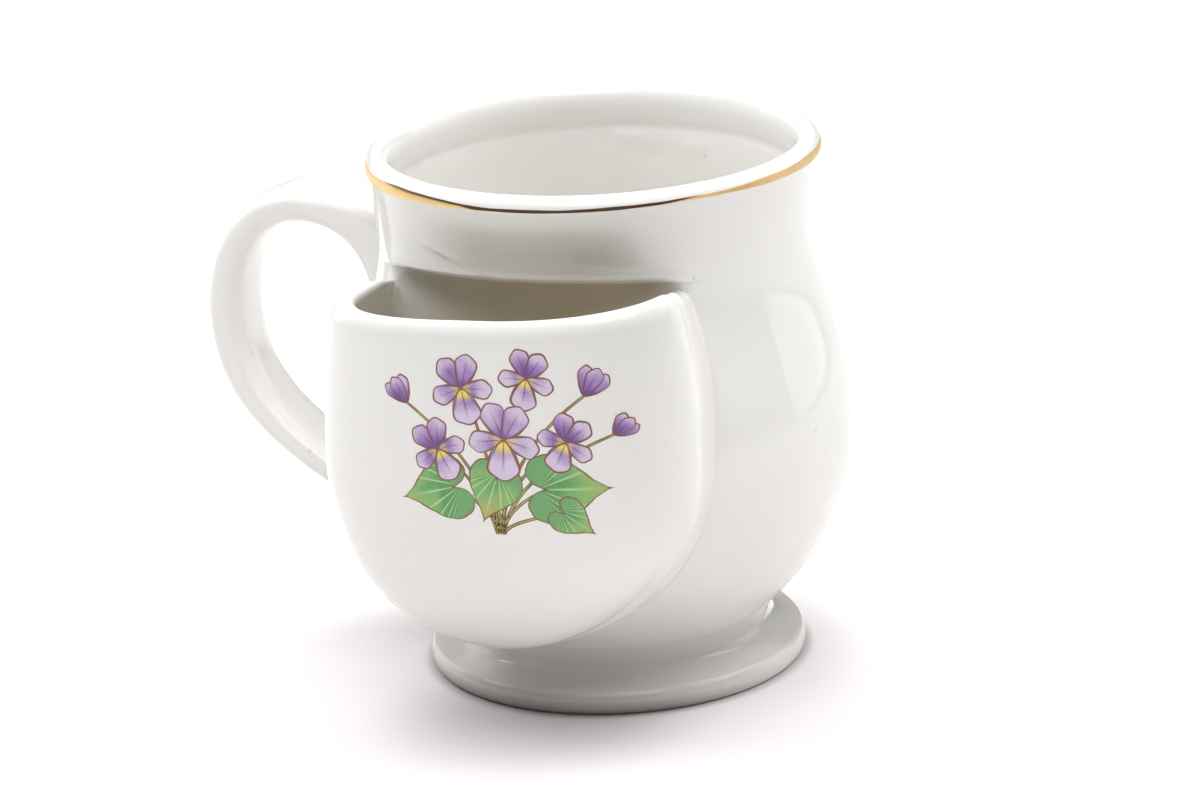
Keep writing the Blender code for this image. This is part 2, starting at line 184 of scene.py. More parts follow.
def node_tree(name, result, **kinds):
    """A new tree of geometry nodes with an input of each of these kinds and one output, and its input
    sockets."""
    tree = bpy.data.node_groups.new(name, "GeometryNodeTree")
    for label, kind in kinds.items():
        tree.interface.new_socket(label, in_out="INPUT", socket_type="NodeSocket" + kind)
    tree.interface.new_socket(result, in_out="OUTPUT", socket_type="NodeSocketGeometry")
    return tree, add(tree, "NodeGroupInput").outputs


def sheet_round(tree, line, sides):
    """A flat sheet with a column for each point of a line and a row for each side round it, with the fields
    that give the number of a vertex's point on the line and its turn round it."""
    points = add(
        tree, "GeometryNodeAttributeDomainSize", {0: line}, component="MESH"
    ).outputs["Point Count"]
    rows = add(tree, "ShaderNodeMath", {0: sides, 1: 1.0}, operation="ADD").outputs[0]
    sheet = add(tree, "GeometryNodeMeshGrid", {"Vertices X": points, "Vertices Y": rows}).outputs["Mesh"]
    count = add(tree, "GeometryNodeInputIndex").outputs[0]
    column = add(tree, "ShaderNodeMath", {0: count, 1: rows}, operation="DIVIDE").outputs[0]
    column = add(tree, "ShaderNodeMath", {0: column}, operation="FLOOR").outputs[0]
    step = add(tree, "ShaderNodeMath", {0: count, 1: rows}, operation="MODULO").outputs[0]
    share = add(tree, "ShaderNodeMath", {0: step, 1: sides}, operation="DIVIDE").outputs[0]
    turn = add(tree, "ShaderNodeMath", {0: share, 1: 2 * math.pi}, operation="MULTIPLY").outputs[0]
    return sheet, column, turn


def fired(tree, sheet, place, finish):
    """Ends a tree: the sheet bent to its place, its doubles merged, made real and given its finish."""
    body = add(tree, "GeometryNodeSetPosition", {"Geometry": sheet, "Position": place}).outputs[0]
    body = add(
        tree, "GeometryNodeMergeByDistance", {"Geometry": body, "Distance": MERGE_DISTANCE}
    ).outputs[0]
    body = add(tree, "GeometryNodeSetShadeSmooth", {0: body}).outputs[0]
    body = add(tree, "GeometryNodeRealizeInstances", {0: body}).outputs[0]
    body = add(tree, "GeometryNodeSetMaterial", {"Geometry": body, "Material": finish}).outputs[0]
    add(tree, "NodeGroupOutput", {0: body})


wheel, given = node_tree(
    "turned_on_a_wheel", "Turned", Outline="Geometry", Steps="Int", Axis="Vector", Finish="Material"
)
sheet, column, turn = sheet_round(wheel, given["Outline"], given["Steps"])
drawn = add(
    wheel,
    "GeometryNodeSampleIndex",
    {
        "Geometry": given["Outline"],
        "Value": add(wheel, "GeometryNodeInputPosition").outputs[0],
        "Index": column,
    },
    data_type="FLOAT_VECTOR",
)
drawn = add(wheel, "ShaderNodeSeparateXYZ", {0: drawn.outputs[0]}).outputs
swept = [
    add(
        wheel,
        "ShaderNodeMath",
        {0: drawn["X"], 1: add(wheel, "ShaderNodeMath", {0: turn}, operation=side).outputs[0]},
        operation="MULTIPLY",
    ).outputs[0]
    for side in ("COSINE", "SINE")
]
swept = add(wheel, "ShaderNodeCombineXYZ", {0: swept[0], 1: swept[1], 2: drawn["Z"]}).outputs[0]
swept = add(wheel, "ShaderNodeVectorMath", {0: swept, 1: given["Axis"]}, operation="ADD").outputs[0]
fired(wheel, sheet, swept, given["Finish"])


def grown(name, start, tree, **inputs):
    """The plain mesh that a node tree makes from start, as a new object with nothing left on its stack."""
    piece = placed(name, start)
    maker = piece.modifiers.new(tree.name, "NODES")
    maker.node_group = tree
    for socket in tree.interface.items_tree:
        if socket.name in inputs:
            maker[socket.identifier] = inputs[socket.name]
    mesh = bpy.data.meshes.new_from_object(piece.evaluated_get(bpy.context.evaluated_depsgraph_get()))
    piece.modifiers.clear()
    piece.data = mesh
    return piece


def trued(piece, crease=50):
    """Merges doubles, turns the faces outwards, and shades smooth except over edges sharper than crease
    degrees."""
    work = bmesh.new()
    work.from_mesh(piece.data)
    bmesh.ops.remove_doubles(work, verts=work.verts, dist=MERGE_DISTANCE)
    bmesh.ops.dissolve_degenerate(work, dist=1e-6, edges=work.edges)
    bmesh.ops.recalc_face_normals(work, faces=work.faces)
    work.to_mesh(piece.data)
    work.free()
    piece.data.shade_smooth()
    piece.data.set_sharp_from_angle(angle=math.radians(crease))
    return piece


def seated(piece, slot, *nodes):
    """The piece rides on the fired body and stands for these solids; slot is not used."""
    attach(piece, "root")
    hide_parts(*nodes)


def outline(name, drawing):
    """A line of points (radius, height) in millimetres, as the mesh that the wheel turns."""
    mesh = bpy.data.meshes.new(name)
    mesh.from_pydata([(r * MM, 0, z * MM) for r, z in drawing], [], [])
    return mesh


quarter = np.radians(np.linspace(0, 90, 20))
half = np.radians(np.linspace(0, 180, 28))
foot_drawing = (
    [(FOOT_THROAT, FOOT_TOP)]
    + [
        (
            FOOT_WAIST + (FOOT_SPREAD - FOOT_WAIST) * (1 - math.cos(t)),
            FOOT_TOP - (FOOT_TOP - FOOT_EDGE) * math.sin(t),
        )
        for t in quarter
    ]
    + [(FOOT_SPREAD + FOOT_EDGE_BULGE * math.sin(t), FOOT_EDGE / 2 * (1 + math.cos(t))) for t in half[1:]]
    + [(FOOT_BEARING + 0.5, 0), (FOOT_BEARING + 0.1, 0.15), (FOOT_BEARING - 0.2, 0.5)]
    + [(FOOT_BEARING - (FOOT_BEARING - FOOT_THROAT) * k, FOOT_TOP * k) for k in np.linspace(0.15, 1, 9)]
)
porcelain_wiped = glaze("glazed_porcelain_wiped_foot", PORCELAIN_PALE, PORCELAIN_GREY, wiped_below=0.12)
foot = grown(
    "foot_turned",
    outline("foot_drawing", foot_drawing),
    wheel,
    Steps=FOOT_STEPS,
    Axis=AXIS,
    Finish=porcelain_wiped,
)
seated(trued(foot), "glazed_porcelain", "pedestal_foot")

# Cup
# The bellied cup for soap and lather, slip-cast in porcelain. Its lip is rolled into a half-round bead. The
# front is let in under a hood at the neck, so that a flat wall closes the brush pocket off from the soap.
BASE = 9.5
WAIST, BELLY, BELLY_HEIGHT, FULLNESS = 27.8, 47.2, 36.5, 2.15
NECK, NECK_HEIGHT, NECK_SWEEP = 39.9, 72.5, 1.7
WALL, FLOOR, FLOOR_ROUND = 3.4, 4.5, 1.6
LIP_OUTER, LIP_HALF, LIP_TOP, LIP_OUTER_DROP, LIP_INNER_DROP, LIP_FACE = 41.4, 2.4, 89.25, 2.85, 4.4, 2.7
LIP_HEIGHT = LIP_TOP - LIP_OUTER_DROP
NICHE_MIDDLE, NICHE_SIDE, NICHE_HALF, NICHE_TURN = 30.25, 25.85, 30.7, 8.0
HOOD_HEIGHT, HOOD_MIDDLE, HOOD_FALL = 83.1, 3.0, 0.00085
EAR_LEFT, EAR_RIGHT = 68.6, 70.6
# the hood's edge flares, and a run of glaze froze over it: how far each stands out, and over what height
FLARE_OUT, FLARE_TALL, RUN_OUT, RUN_TALL = 0.6, 2.2, 0.18, 0.7
POCKET_CENTRE, POCKET_HALF, POCKET_REAR = 40.0, 35.37, 30.0
POCKET_WIDEST, POCKET_DROP, POCKET_RISE, POCKET_WALL = 41.5, 36.39, 62.0, 3.3
POCKET_LIP, POCKET_SHIFT, LEAN_TOP, LEAN_BOTTOM, LEAN_CURVE = 71.05, -0.84, 1.09, 5.44, 1.7
REAR_FULLNESS = (1.85, 2.32)


def smooth(low, high, value):
    """0 below low, 1 above high, and an even S between them."""
    t = np.clip((value - low) / (high - low), 0, 1)
    return t * t * (3 - 2 * t)


def cup_radius(h):
    """Outer radius of the cup at a height above its underside."""
    h = np.asarray(h, float)
    low = WAIST + (BELLY - WAIST) * (1 - np.clip(1 - h / BELLY_HEIGHT, 0, 1) ** FULLNESS)
    shoulder = BELLY - (BELLY - NECK) * smooth(BELLY_HEIGHT, NECK_HEIGHT, h)
    neck = NECK + (LIP_OUTER - NECK) * np.clip(
        (h - NECK_HEIGHT) / (LIP_HEIGHT - NECK_HEIGHT), 0, None
    ) ** NECK_SWEEP
    return np.where(h < BELLY_HEIGHT, low, np.where(h < NECK_HEIGHT, shoulder, neck))


def marked(mesh, **fields):
    """Writes a number for each point of a mesh under the name of each field."""
    for label, values in fields.items():
        attribute = mesh.attributes.new(label, "FLOAT", "POINT")
        attribute.data.foreach_set("value", np.ravel(values).astype(float))


def ring_mesh(name, rings, **fields):
    """A closed mesh of rings, each an array of points in millimetres about the axis, from one pole to the
    other, with a number for each point in each field."""
    rings = np.asarray(rings)
    across, round_ = rings.shape[:2]
    mesh = bpy.data.meshes.new(name)
    faces = [
        (
            i * round_ + j,
            i * round_ + (j + 1) % round_,
            (i + 1) * round_ + (j + 1) % round_,
            (i + 1) * round_ + j,
        )
        for i in range(across - 1)
        for j in range(round_)
    ]
    mesh.from_pydata((rings.reshape(-1, 3) * MM + np.array(AXIS)).tolist(), [], faces)
    marked(mesh, **{label: np.broadcast_to(values, (across, round_)) for label, values in fields.items()})
    return placed(name, mesh)


bearing = np.concatenate([np.arange(-62, 62, 0.55), np.arange(62, 298, 1.6)])
bearing = np.where(bearing > 180, bearing - 360, bearing)
facing = np.radians(bearing)
hood = HOOD_HEIGHT - HOOD_FALL * (np.clip(bearing, -60, 60) - HOOD_MIDDLE) ** 2


def round_cup(radius, z):
    """One ring of the cup, its radius and height given for each bearing."""
    radius, z = np.broadcast_to(radius, facing.shape), np.broadcast_to(z, facing.shape)
    return np.stack([radius * np.sin(facing), -radius * np.cos(facing), z], -1)


def solved(miss, low, high, turns=46):
    """Where miss changes its sign between low and high, found for all the points at once."""
    low, high = np.array(low, float), np.array(high, float)
    start = np.sign(miss(low))
    for _ in range(turns):
        middle = (low + high) / 2
        same = np.sign(miss(middle)) == start
        low, high = np.where(same, middle, low), np.where(same, high, middle)
    return (low + high) / 2


def niche_wall(u):
    """How far before the axis the niche's back wall stands: flat in the middle, falling away to its
    sides."""
    return NICHE_SIDE + (NICHE_MIDDLE - NICHE_SIDE) * np.clip(
        1 - np.abs(u / NICHE_HALF) ** NICHE_TURN, 0, 1
    )


def wall_radius(behind):
    """Radius, at each bearing, of a face that lies so far behind the niche's front face."""
    sideways, ahead = np.sin(facing), np.maximum(np.cos(facing), 0.3)
    found = solved(lambda r: r * ahead - niche_wall(r * sideways) + behind, 10.0, 110.0)
    return np.where(np.cos(facing) > 0.3, found, 999.0)


niche_face, niche_back = wall_radius(0.0), wall_radius(WALL)


def lean(h):
    """How far aside the pocket stands: it leans away from the handle at its lip, towards it at its
    bottom."""
    up = np.clip((h - POCKET_WIDEST) / (POCKET_LIP - POCKET_WIDEST), 0, 1)
    down = np.clip((POCKET_WIDEST - h) / POCKET_DROP, 0, 1)
    return POCKET_SHIFT + LEAN_TOP * np.sin(np.pi / 2 * up) - LEAN_BOTTOM * down**LEAN_CURVE


def niche(radius, z):
    """The outside with the niche let in where the pocket's wall will hide its edge; over the lip it runs
    out softly."""
    wall = np.minimum(niche_face, radius)
    h = z - BASE
    away = np.abs(h - POCKET_WIDEST) / np.where(h > POCKET_WIDEST, POCKET_RISE, POCKET_DROP)
    power = np.where(h > POCKET_WIDEST, *REAR_FULLNESS)
    swell = np.maximum(1 - np.clip(away, 0, 1) ** power, 1e-4) ** (1 / power)
    hidden = 1.0
    for r, inset, start, end in ((wall, POCKET_WALL / 2, 0.955, 1.02), (radius, 0.6, 0.97, 1.0)):
        behind = np.abs(r * np.cos(facing) - POCKET_CENTRE) / np.maximum(POCKET_REAR * swell - inset, 0.01)
        half = np.maximum(POCKET_HALF * swell - inset, 0.01) * np.clip(1 - behind**2.5, 1e-6, 1) ** 0.4
        hidden = hidden * (1 - smooth(start, end, np.abs(r * np.sin(facing) - lean(h)) / half))
    ear = np.where(bearing < 0, EAR_LEFT, EAR_RIGHT)
    hidden = np.maximum(hidden, smooth(ear - 2, ear, h))
    return radius - hidden * (radius - wall)


def neck_radius(z):
    """The neck, flared a little over the hood's edge and with a run of glaze that froze on its way down."""
    run_bearing = [-28.5, -27.2, -24.5, -19.8, -15.0, -8.9, -2.4, 0.0]
    run_height = [88.0, 87.8, 87.6, 87.0, 86.0, 85.0, 83.6, 83.2]
    over_hood = 1 - smooth(42, 52, np.abs(bearing))
    run = np.interp(bearing, run_bearing, run_height)
    held = smooth(-30, -26, bearing) * (1 - smooth(-5, 0, bearing))
    return (
        cup_radius(z - BASE)
        + FLARE_OUT * np.exp(-(((z - hood) / FLARE_TALL) ** 2)) * over_hood
        + RUN_OUT * np.exp(-(((z - run) / RUN_TALL) ** 2)) * held
    )


rings = [round_cup(0.0, BASE), round_cup(WAIST - 6, BASE), round_cup(WAIST - 0.4, BASE)]
for k in np.linspace(0, 1, 96):
    z = BASE + 0.3 * (k == 0) + (hood - BASE) * k
    rings.append(round_cup(niche(cup_radius(z - BASE), z), z))
niche_rings = len(rings) + 5
shelf_start = niche(cup_radius(hood - BASE), hood)
shelf_end = neck_radius(hood)
depth = np.clip(shelf_end - shelf_start, 0, None)
edge = np.minimum(1.0, depth / 2)
for k in np.linspace(0.12, 1, 7):
    rings.append(round_cup(shelf_start + (depth - edge) * k, hood))
for t in np.radians(np.linspace(15, 90, 6)):
    rings.append(round_cup(shelf_end - edge + edge * np.sin(t), hood + edge * (1 - np.cos(t))))
lip_z = BASE + LIP_HEIGHT
for k in np.linspace(0, 1, 27)[1:]:
    z = hood + edge + (lip_z - hood - edge) * k
    rings.append(round_cup(neck_radius(z), z))
lip_rings = len(rings)
lip_middle, lip_edge = LIP_OUTER - LIP_HALF, BASE + LIP_TOP - LIP_INNER_DROP
for t in np.radians(np.linspace(0, 180, 33))[1:]:
    level, crown = (lip_z, LIP_OUTER_DROP) if math.cos(t) > 0 else (lip_edge, LIP_INNER_DROP)
    rings.append(round_cup(lip_middle + LIP_HALF * math.cos(t), level + crown * math.sin(t)))
lip_inner = lip_middle - LIP_HALF
# under the bead the wall falls back a little: how far, and how deep below the bead in shares of its face
FALL_BACK = ((0, 0.25), (0, 0.5), (0.015, 0.72), (0.05, 0.88), (0.1, 1.02), (0.15, 1.2), (0.18, 1.38))
for wider, below in FALL_BACK:
    rings.append(round_cup(lip_inner + wider, lip_edge - LIP_FACE * below))

# drips of glaze that froze inside: bearing, height, spread in degrees, spread in height, thickness
INSIDE_DRIPS = (
    (-168, 89.4, 3.0, 1.6, 0.3),
    (-160, 88.2, 2.2, 2.0, -0.22),
    (172, 87.6, 2.6, 1.2, 0.28),
    (164, 84.8, 1.8, 2.6, 0.26),
    (-176, 85.5, 6.0, 1.0, -0.2),
)


def inside(z):
    """The inside wall, bulging over the back of the niche and falling away above the hood."""
    wall = cup_radius(z - BASE) - WALL - 0.42 * smooth(80, 91, z)
    low = np.clip((z - BASE - FLOOR) / 9.0, 0, 1)
    wall = wall * np.sqrt(np.clip(1 - (1 - low) ** 2 * 0.35, 0, 1))
    for at, level, wide, tall, out in INSIDE_DRIPS:
        apart = (bearing - at + 180) % 360 - 180
        wall = wall - out * np.exp(-((apart / wide) ** 2) - ((z - level) / tall) ** 2)
    back = niche_back + (wall - np.minimum(niche_back, wall)) * smooth(82, 92, z)
    soft = 3.0
    blend = np.clip(0.5 + 0.5 * (back - wall) / soft, 0, 1)
    return np.where(back > 500, wall, back * (1 - blend) + wall * blend - soft * blend * (1 - blend))


for z in np.linspace(lip_edge - LIP_FACE * 1.6, BASE + FLOOR + FLOOR_ROUND, 74):
    rings.append(round_cup(inside(np.full_like(facing, z)), z))
floor_rim = inside(np.full_like(facing, BASE + FLOOR + FLOOR_ROUND))
for t in np.radians((30, 55, 75, 90)):
    low = BASE + FLOOR + FLOOR_ROUND * (1 - math.sin(t)) * 0.6
    rings.append(round_cup(floor_rim - FLOOR_ROUND * math.sin(t), low))
for k in (0.7, 0.35, 0.0):
    rings.append(round_cup((floor_rim - FLOOR_ROUND) * k, BASE + FLOOR))
ring_height = np.array(rings)[..., 2]
let_in = cup_radius(ring_height - BASE) - np.hypot(*np.moveaxis(np.array(rings)[..., :2], -1, 0))
outside = (np.arange(len(rings)) < niche_rings)[:, None]
# painted shade: the niche's wall under the hood takes the warmer shade tint, less towards the handle, and
# the neck above the hood just under the bead takes the greyer one
NICHE_PAINTED_SHADE, NECK_PAINTED_SHADE = 0.47, 0.95
pooled = NICHE_PAINTED_SHADE * outside * smooth(0.5, 3, let_in) * smooth(-48, -8, bearing)
under_lip = ~outside * (np.arange(len(rings)) < lip_rings)[:, None]
over_hood = smooth(-30, -6, bearing) * (1 - smooth(16, 36, bearing))
over_hood = over_hood * (1 - smooth(lip_z - 5, lip_z - 1, ring_height)) * smooth(0, 3, ring_height - hood)
pooled += NECK_PAINTED_SHADE * under_lip * over_hood
cup = trued(ring_mesh("cup_cast", rings, pooled=pooled, closed_in=outside))
porcelain = glaze("glazed_porcelain_glossy", PORCELAIN_PALE, PORCELAIN_GREY)
cup.data.materials.append(porcelain)
seated(cup, "glazed_porcelain", "cup_body")

# Joint of the foot
# The slip that lutes the foot to the cup, wiped with a wet brush into a small hollow at the waist, and
# glazed over.
JOINT_LOW, JOINT_HIGH = 7.1, 11.1


def foot_flare(z):
    """Radius of the foot's flare at a height."""
    lift = min(max((FOOT_TOP - z) / (FOOT_TOP - FOOT_EDGE), 0), 1)
    return FOOT_WAIST + (FOOT_SPREAD - FOOT_WAIST) * (1 - math.sqrt(1 - lift * lift))


low_end = np.array([foot_flare(JOINT_LOW) - 0.03, JOINT_LOW])
high_end = np.array([float(cup_radius(JOINT_HIGH - BASE)) - 0.03, JOINT_HIGH])
hollow = np.array([WAIST + 0.15, (JOINT_LOW + JOINT_HIGH) / 2 - 0.1])
fillet = [
    low_end * (1 - k) ** 2 + 2 * k * (1 - k) * hollow + high_end * k * k for k in np.linspace(0, 1, 13)
]
joint_drawing = fillet + [
    (FOOT_WAIST - 1.5, JOINT_HIGH - 1.0), (FOOT_WAIST - 1.5, JOINT_LOW + 0.6), tuple(low_end)
]
# painted shade: the slip at the waist is a greyer white than the glaze, for the shade in the crease under
# the belly
slip_waist_painted_shade = glaze("glazed_slip_waist_painted_shade", "#ECEAE6", "#E4E1DC")
joint = grown(
    "foot_joint_slip",
    outline("joint_drawing", joint_drawing),
    wheel,
    Steps=FOOT_STEPS,
    Axis=AXIS,
    Finish=slip_waist_painted_shade,
)
seated(trued(joint), "fired_slip", "foot_slip_ring")

# Brush pocket
# A squarish open pouch for hot water and the brush, cast apart in porcelain and luted to the front of the
# belly. Its lip is rounded, and stands higher on the side away from the handle.
POCKET_FRONT, FRONT_FULLNESS = 17.85, (2.5, 1.9)
LIP_SWEEP, LIP_TILT, EAR_DROP, LIP_ROUND = 1.2, 2.3, 3.6, 3.6
HANDLE_EAR_DROP, DOME, DOME_AT, DOME_WIDE = 1.5, 1.4, -98, 12
CORNER_THICK, CORNER_AT, CORNER_WIDE, EAR_THIN = 1.3, -67, 20, 2.1
INNER_DROP = POCKET_DROP - POCKET_WALL
HIDDEN_OUTER, HIDDEN_INNER = 1.8, 0.5


def pouch(turned, h, wall=0.0, inset=0.0, drop=POCKET_DROP):
    """Points of the pouch for a turn about its own middle (0 in front) and a height above the cup's
    underside."""
    turned, h = np.broadcast_arrays(turned, h)
    away = np.clip(np.abs(h - POCKET_WIDEST) / np.where(h > POCKET_WIDEST, POCKET_RISE, drop), 0, 1)
    front = smooth(0, 1, 2 * np.cos(turned) + 0.5)
    above = h > POCKET_WIDEST
    power = np.where(above, *REAR_FULLNESS) * (1 - front) + np.where(above, *FRONT_FULLNESS) * front
    swell = (1 - away**power) ** (1 / power)
    deep = np.where(np.cos(turned) > 0, POCKET_FRONT, POCKET_REAR)
    side, out = np.sin(turned), np.cos(turned)
    u = ((POCKET_HALF - wall) * swell - inset) * np.sign(side) * np.abs(side) ** 0.8
    v = ((deep - wall) * swell - inset) * np.sign(out) * np.abs(out) ** 0.8
    return np.stack([u + lean(h), -(POCKET_CENTRE + v), h + BASE], -1)


def held_back(ring, behind):
    """Keeps the hidden rear of a ring inside the clay of the cup's back wall."""
    ring = ring.copy()
    ring[..., 1] = np.minimum(ring[..., 1], behind - niche_wall(ring[..., 0]))
    return ring


turned = np.radians(np.linspace(-180, 180, 300, endpoint=False))
degrees = np.degrees(turned)
lip = POCKET_LIP + LIP_SWEEP * np.sin(turned) ** 2 + LIP_TILT * np.sin(turned)
lip = lip - EAR_DROP * (smooth(76, 113, degrees) - smooth(150, 180, degrees))
lip = lip - HANDLE_EAR_DROP * smooth(-76, -112, degrees) - 6 * smooth(120, 150, np.abs(degrees))
# by the handle it rises to a small dome before it runs out
lip = lip + DOME * np.exp(-(((degrees - DOME_AT) / DOME_WIDE) ** 2))
# the wall is thicker at the corner by the handle and thinner where it runs out on the neck there
thick = POCKET_WALL + CORNER_THICK * np.exp(-(((degrees - CORNER_AT) / CORNER_WIDE) ** 2))
thick = thick - EAR_THIN * (smooth(-92, -112, degrees) - smooth(-150, -175, degrees))
rounded = LIP_ROUND - 1.5 * smooth(60, 100, degrees)
rings = []
for t in np.radians(np.linspace(0, 90, 40)):
    rings.append(held_back(pouch(turned, POCKET_WIDEST - POCKET_DROP * math.cos(t)), HIDDEN_OUTER))
for k in np.linspace(0, 1, 28)[1:]:
    rings.append(
        held_back(pouch(turned, POCKET_WIDEST + (lip - rounded - POCKET_WIDEST) * k), HIDDEN_OUTER)
    )
for t in np.radians(np.linspace(0, 180, 25))[1:-1]:
    deep = rounded if math.cos(t) > 0 else thick / 2
    ring = pouch(turned, lip - deep * (1 - math.sin(t)), inset=thick / 2 * (1 - math.cos(t)))
    rings.append(held_back(ring, HIDDEN_OUTER + (HIDDEN_INNER - HIDDEN_OUTER) * (1 - math.cos(t)) / 2))
outer_rings = len(rings)
for k in np.linspace(1, 0, 26):
    inset = POCKET_WALL + (thick - POCKET_WALL) * k * k
    ring = pouch(turned, POCKET_WIDEST + (lip - thick / 2 - POCKET_WIDEST) * k, inset=inset)
    rings.append(held_back(ring, HIDDEN_INNER))
for t in np.radians(np.linspace(90, 0, 28))[1:]:
    ring = pouch(turned, POCKET_WIDEST - INNER_DROP * math.cos(t), wall=POCKET_WALL, drop=INNER_DROP)
    rings.append(held_back(ring, HIDDEN_INNER))
# painted shade: the pocket's inside, from its lip down, takes the warmer shade tint, least on the ear by
# the handle
pooled = smooth(outer_rings - 4, outer_rings + 3, np.arange(len(rings)))[:, None]
pooled = pooled * (0.6 - 0.5 * np.exp(-(((degrees + 95) / 30) ** 2)))
pocket = trued(ring_mesh("brush_pocket_cast", rings, pooled=pooled, closed_in=1.0))
pocket.data.materials.append(porcelain)
seated(pocket, "glazed_porcelain", "brush_pocket")

# Joint of the pocket
# The slip that lutes the pocket to the belly, pressed into the crease all round and wiped to a narrow
# hollow, glazed over.
SEAM_REACH = 0.55


def off_cup(points):
    """How far points stand off the cup's outside, in its radius."""
    return np.hypot(points[..., 0], points[..., 1]) - cup_radius(points[..., 2] - BASE)


def on_cup(points, sink=0.0):
    """The points moved along their radius to the cup's outside."""
    reach = (cup_radius(points[..., 2] - BASE) - sink) / np.hypot(points[..., 0], points[..., 1])
    return np.stack([points[..., 0] * reach, points[..., 1] * reach, points[..., 2]], -1)


def unit(vectors):
    return vectors / np.linalg.norm(vectors, axis=-1, keepdims=True)


def luted(name, crease, on_piece, run, closed):
    """A wiped hollow of slip along a crease: run gives its reach, on_piece the points it touches on the
    joined piece."""
    along = np.roll(crease, -1, 0) - np.roll(crease, 1, 0)
    if not closed:
        along[0], along[-1] = crease[1] - crease[0], crease[-1] - crease[-2]
    out = np.stack([crease[:, 0], crease[:, 1], np.zeros(len(crease))], -1)
    slope = (cup_radius(crease[:, 2] - BASE + 0.05) - cup_radius(crease[:, 2] - BASE - 0.05)) / 0.1
    skin = unit(unit(out) - slope[:, None] * np.array([0, 0, 1.0]))
    away = unit(np.cross(unit(along), skin))
    away *= np.sign(np.sum(away * (crease - on_piece), -1, keepdims=True))
    on_clay = on_cup(crease + away * run[:, None], 0.03)
    corner = crease + unit(crease * 2 - on_clay - on_piece) * 0.15
    ks = np.linspace(0, 1, 11)
    section = [on_clay * (1 - k) ** 2 + corner * 2 * k * (1 - k) + on_piece * k * k for k in ks]
    buried = crease + unit(crease * 2 - on_clay - on_piece) * np.minimum(run, 0.9)[:, None]
    section = np.stack(section + [buried], 1)
    if closed:
        section = np.concatenate([section, section[:1]])
    else:
        ends = [np.repeat(s.mean(0, keepdims=True), len(s), 0)[None] for s in (section[0], section[-1])]
        section = np.concatenate([ends[0], section, ends[1]])
    return trued(ring_mesh(name, section), 60)


# each side of the seam: the height of its end, and the turns before and behind the crease
seam_sides = ((68.2, math.radians(50), math.radians(170)), (66.9, math.radians(310), math.radians(190)))
climb = [np.linspace(POCKET_WIDEST, top, 70)[1:] for top, _, _ in seam_sides]
turn_at = [
    solved(lambda t, h=h: off_cup(pouch(t, h)), before, behind)
    for h, (_, before, behind) in zip(climb, seam_sides)
]
widest = [
    float(solved(lambda t: off_cup(pouch(t, POCKET_WIDEST)), before, behind))
    for _, before, behind in seam_sides
]
under_turn = np.linspace(*widest, 240)
lowest, highest = POCKET_WIDEST - POCKET_DROP + 0.01, POCKET_WIDEST - 0.001
under_height = solved(lambda h: off_cup(pouch(under_turn, h)), lowest, highest)
seam_turn = np.concatenate([turn_at[0][::-1], under_turn, turn_at[1]])
seam_height = np.concatenate([climb[0][::-1], under_height, climb[1]])
crease = pouch(seam_turn, seam_height)
small = 1e-3
by_turn = (pouch(seam_turn + small, seam_height) - crease) / small
by_height = (pouch(seam_turn, seam_height + small) - crease) / small
face = unit(np.cross(by_turn, by_height))
along = np.gradient(crease, axis=0)
forth = unit(np.cross(face, unit(along)))
forth *= np.sign(off_cup(crease + forth * 0.2))[:, None]
end_fade = np.minimum(1, np.minimum(np.arange(len(crease)), np.arange(len(crease))[::-1]) / 24 + 0.1)
run = SEAM_REACH * end_fade
frames = np.stack([by_turn, by_height], -1)
shift = np.linalg.pinv(frames) @ (forth * run[:, None])[..., None]
on_pouch = pouch(seam_turn + shift[:, 0, 0], seam_height + shift[:, 1, 0])
seam = luted("pocket_joint_slip", crease, on_pouch, run, False)
# painted shade: the slip in the creases is a greyer white than the glaze, so that each crease reads as a
# thin shadow line
slip_painted_shade = glaze("glazed_slip_joint_painted_shade", "#E6E3DC", "#DCD8CF")
seam.data.materials.append(slip_painted_shade)
seated(seam, "fired_slip", "pocket_slip_seam")

# Handle
# A flattened strap of porcelain, pressed in a two-part mould: deep at its root on the neck, thinner at its
# heel on the belly. Both ends are scored and luted to the cup.
ROOT_HEIGHT, ROOT_SUNK, HEEL_HEIGHT, HEEL_SUNK = 63.1, 5.1, 11.5, 1.7
CREST, BEND = np.array([57.7, 74.2]), np.array([74.7, 52.5])
STRAP_WIDTH, STRAP_THICK, HEEL_THICK, ROOT_DEEP, STRAP_SQUARE = 14.5, 7.1, 5.6, 22.0, 2.8
STRAP_SIDES = 72
BURIED = 1.5
strap_root = np.array([float(cup_radius(ROOT_HEIGHT)) - ROOT_SUNK, ROOT_HEIGHT])
strap_heel = np.array([float(cup_radius(HEEL_HEIGHT)) - HEEL_SUNK, HEEL_HEIGHT])
rise, fall, drop = CREST - strap_root, BEND - CREST, strap_heel - BEND
bows = [
    (strap_root, strap_root + rise * (0.3, 0.75), CREST - rise * (0.4, 0), CREST),
    (CREST, CREST + fall * (0.6, 0), BEND - fall * (0, 0.5), BEND),
    (BEND, BEND + drop * (0, 0.56), strap_heel - drop * (0.45, 0.31), strap_heel),
]
line, thick = [], []
for number, (a, b, c, d) in enumerate(bows):
    for t in np.linspace(0, 1, 57)[number > 0 :]:
        line.append(a * (1 - t) ** 3 + 3 * b * t * (1 - t) ** 2 + 3 * c * t * t * (1 - t) + d * t**3)
        thick.append(
            (
                STRAP_THICK + (ROOT_DEEP - STRAP_THICK) * (1 - t) ** 2,
                STRAP_THICK,
                STRAP_THICK + (HEEL_THICK - STRAP_THICK) * t,
            )[number]
        )
line, thick = np.array(line), np.array(thick)
heading = unit(np.gradient(line, axis=0))
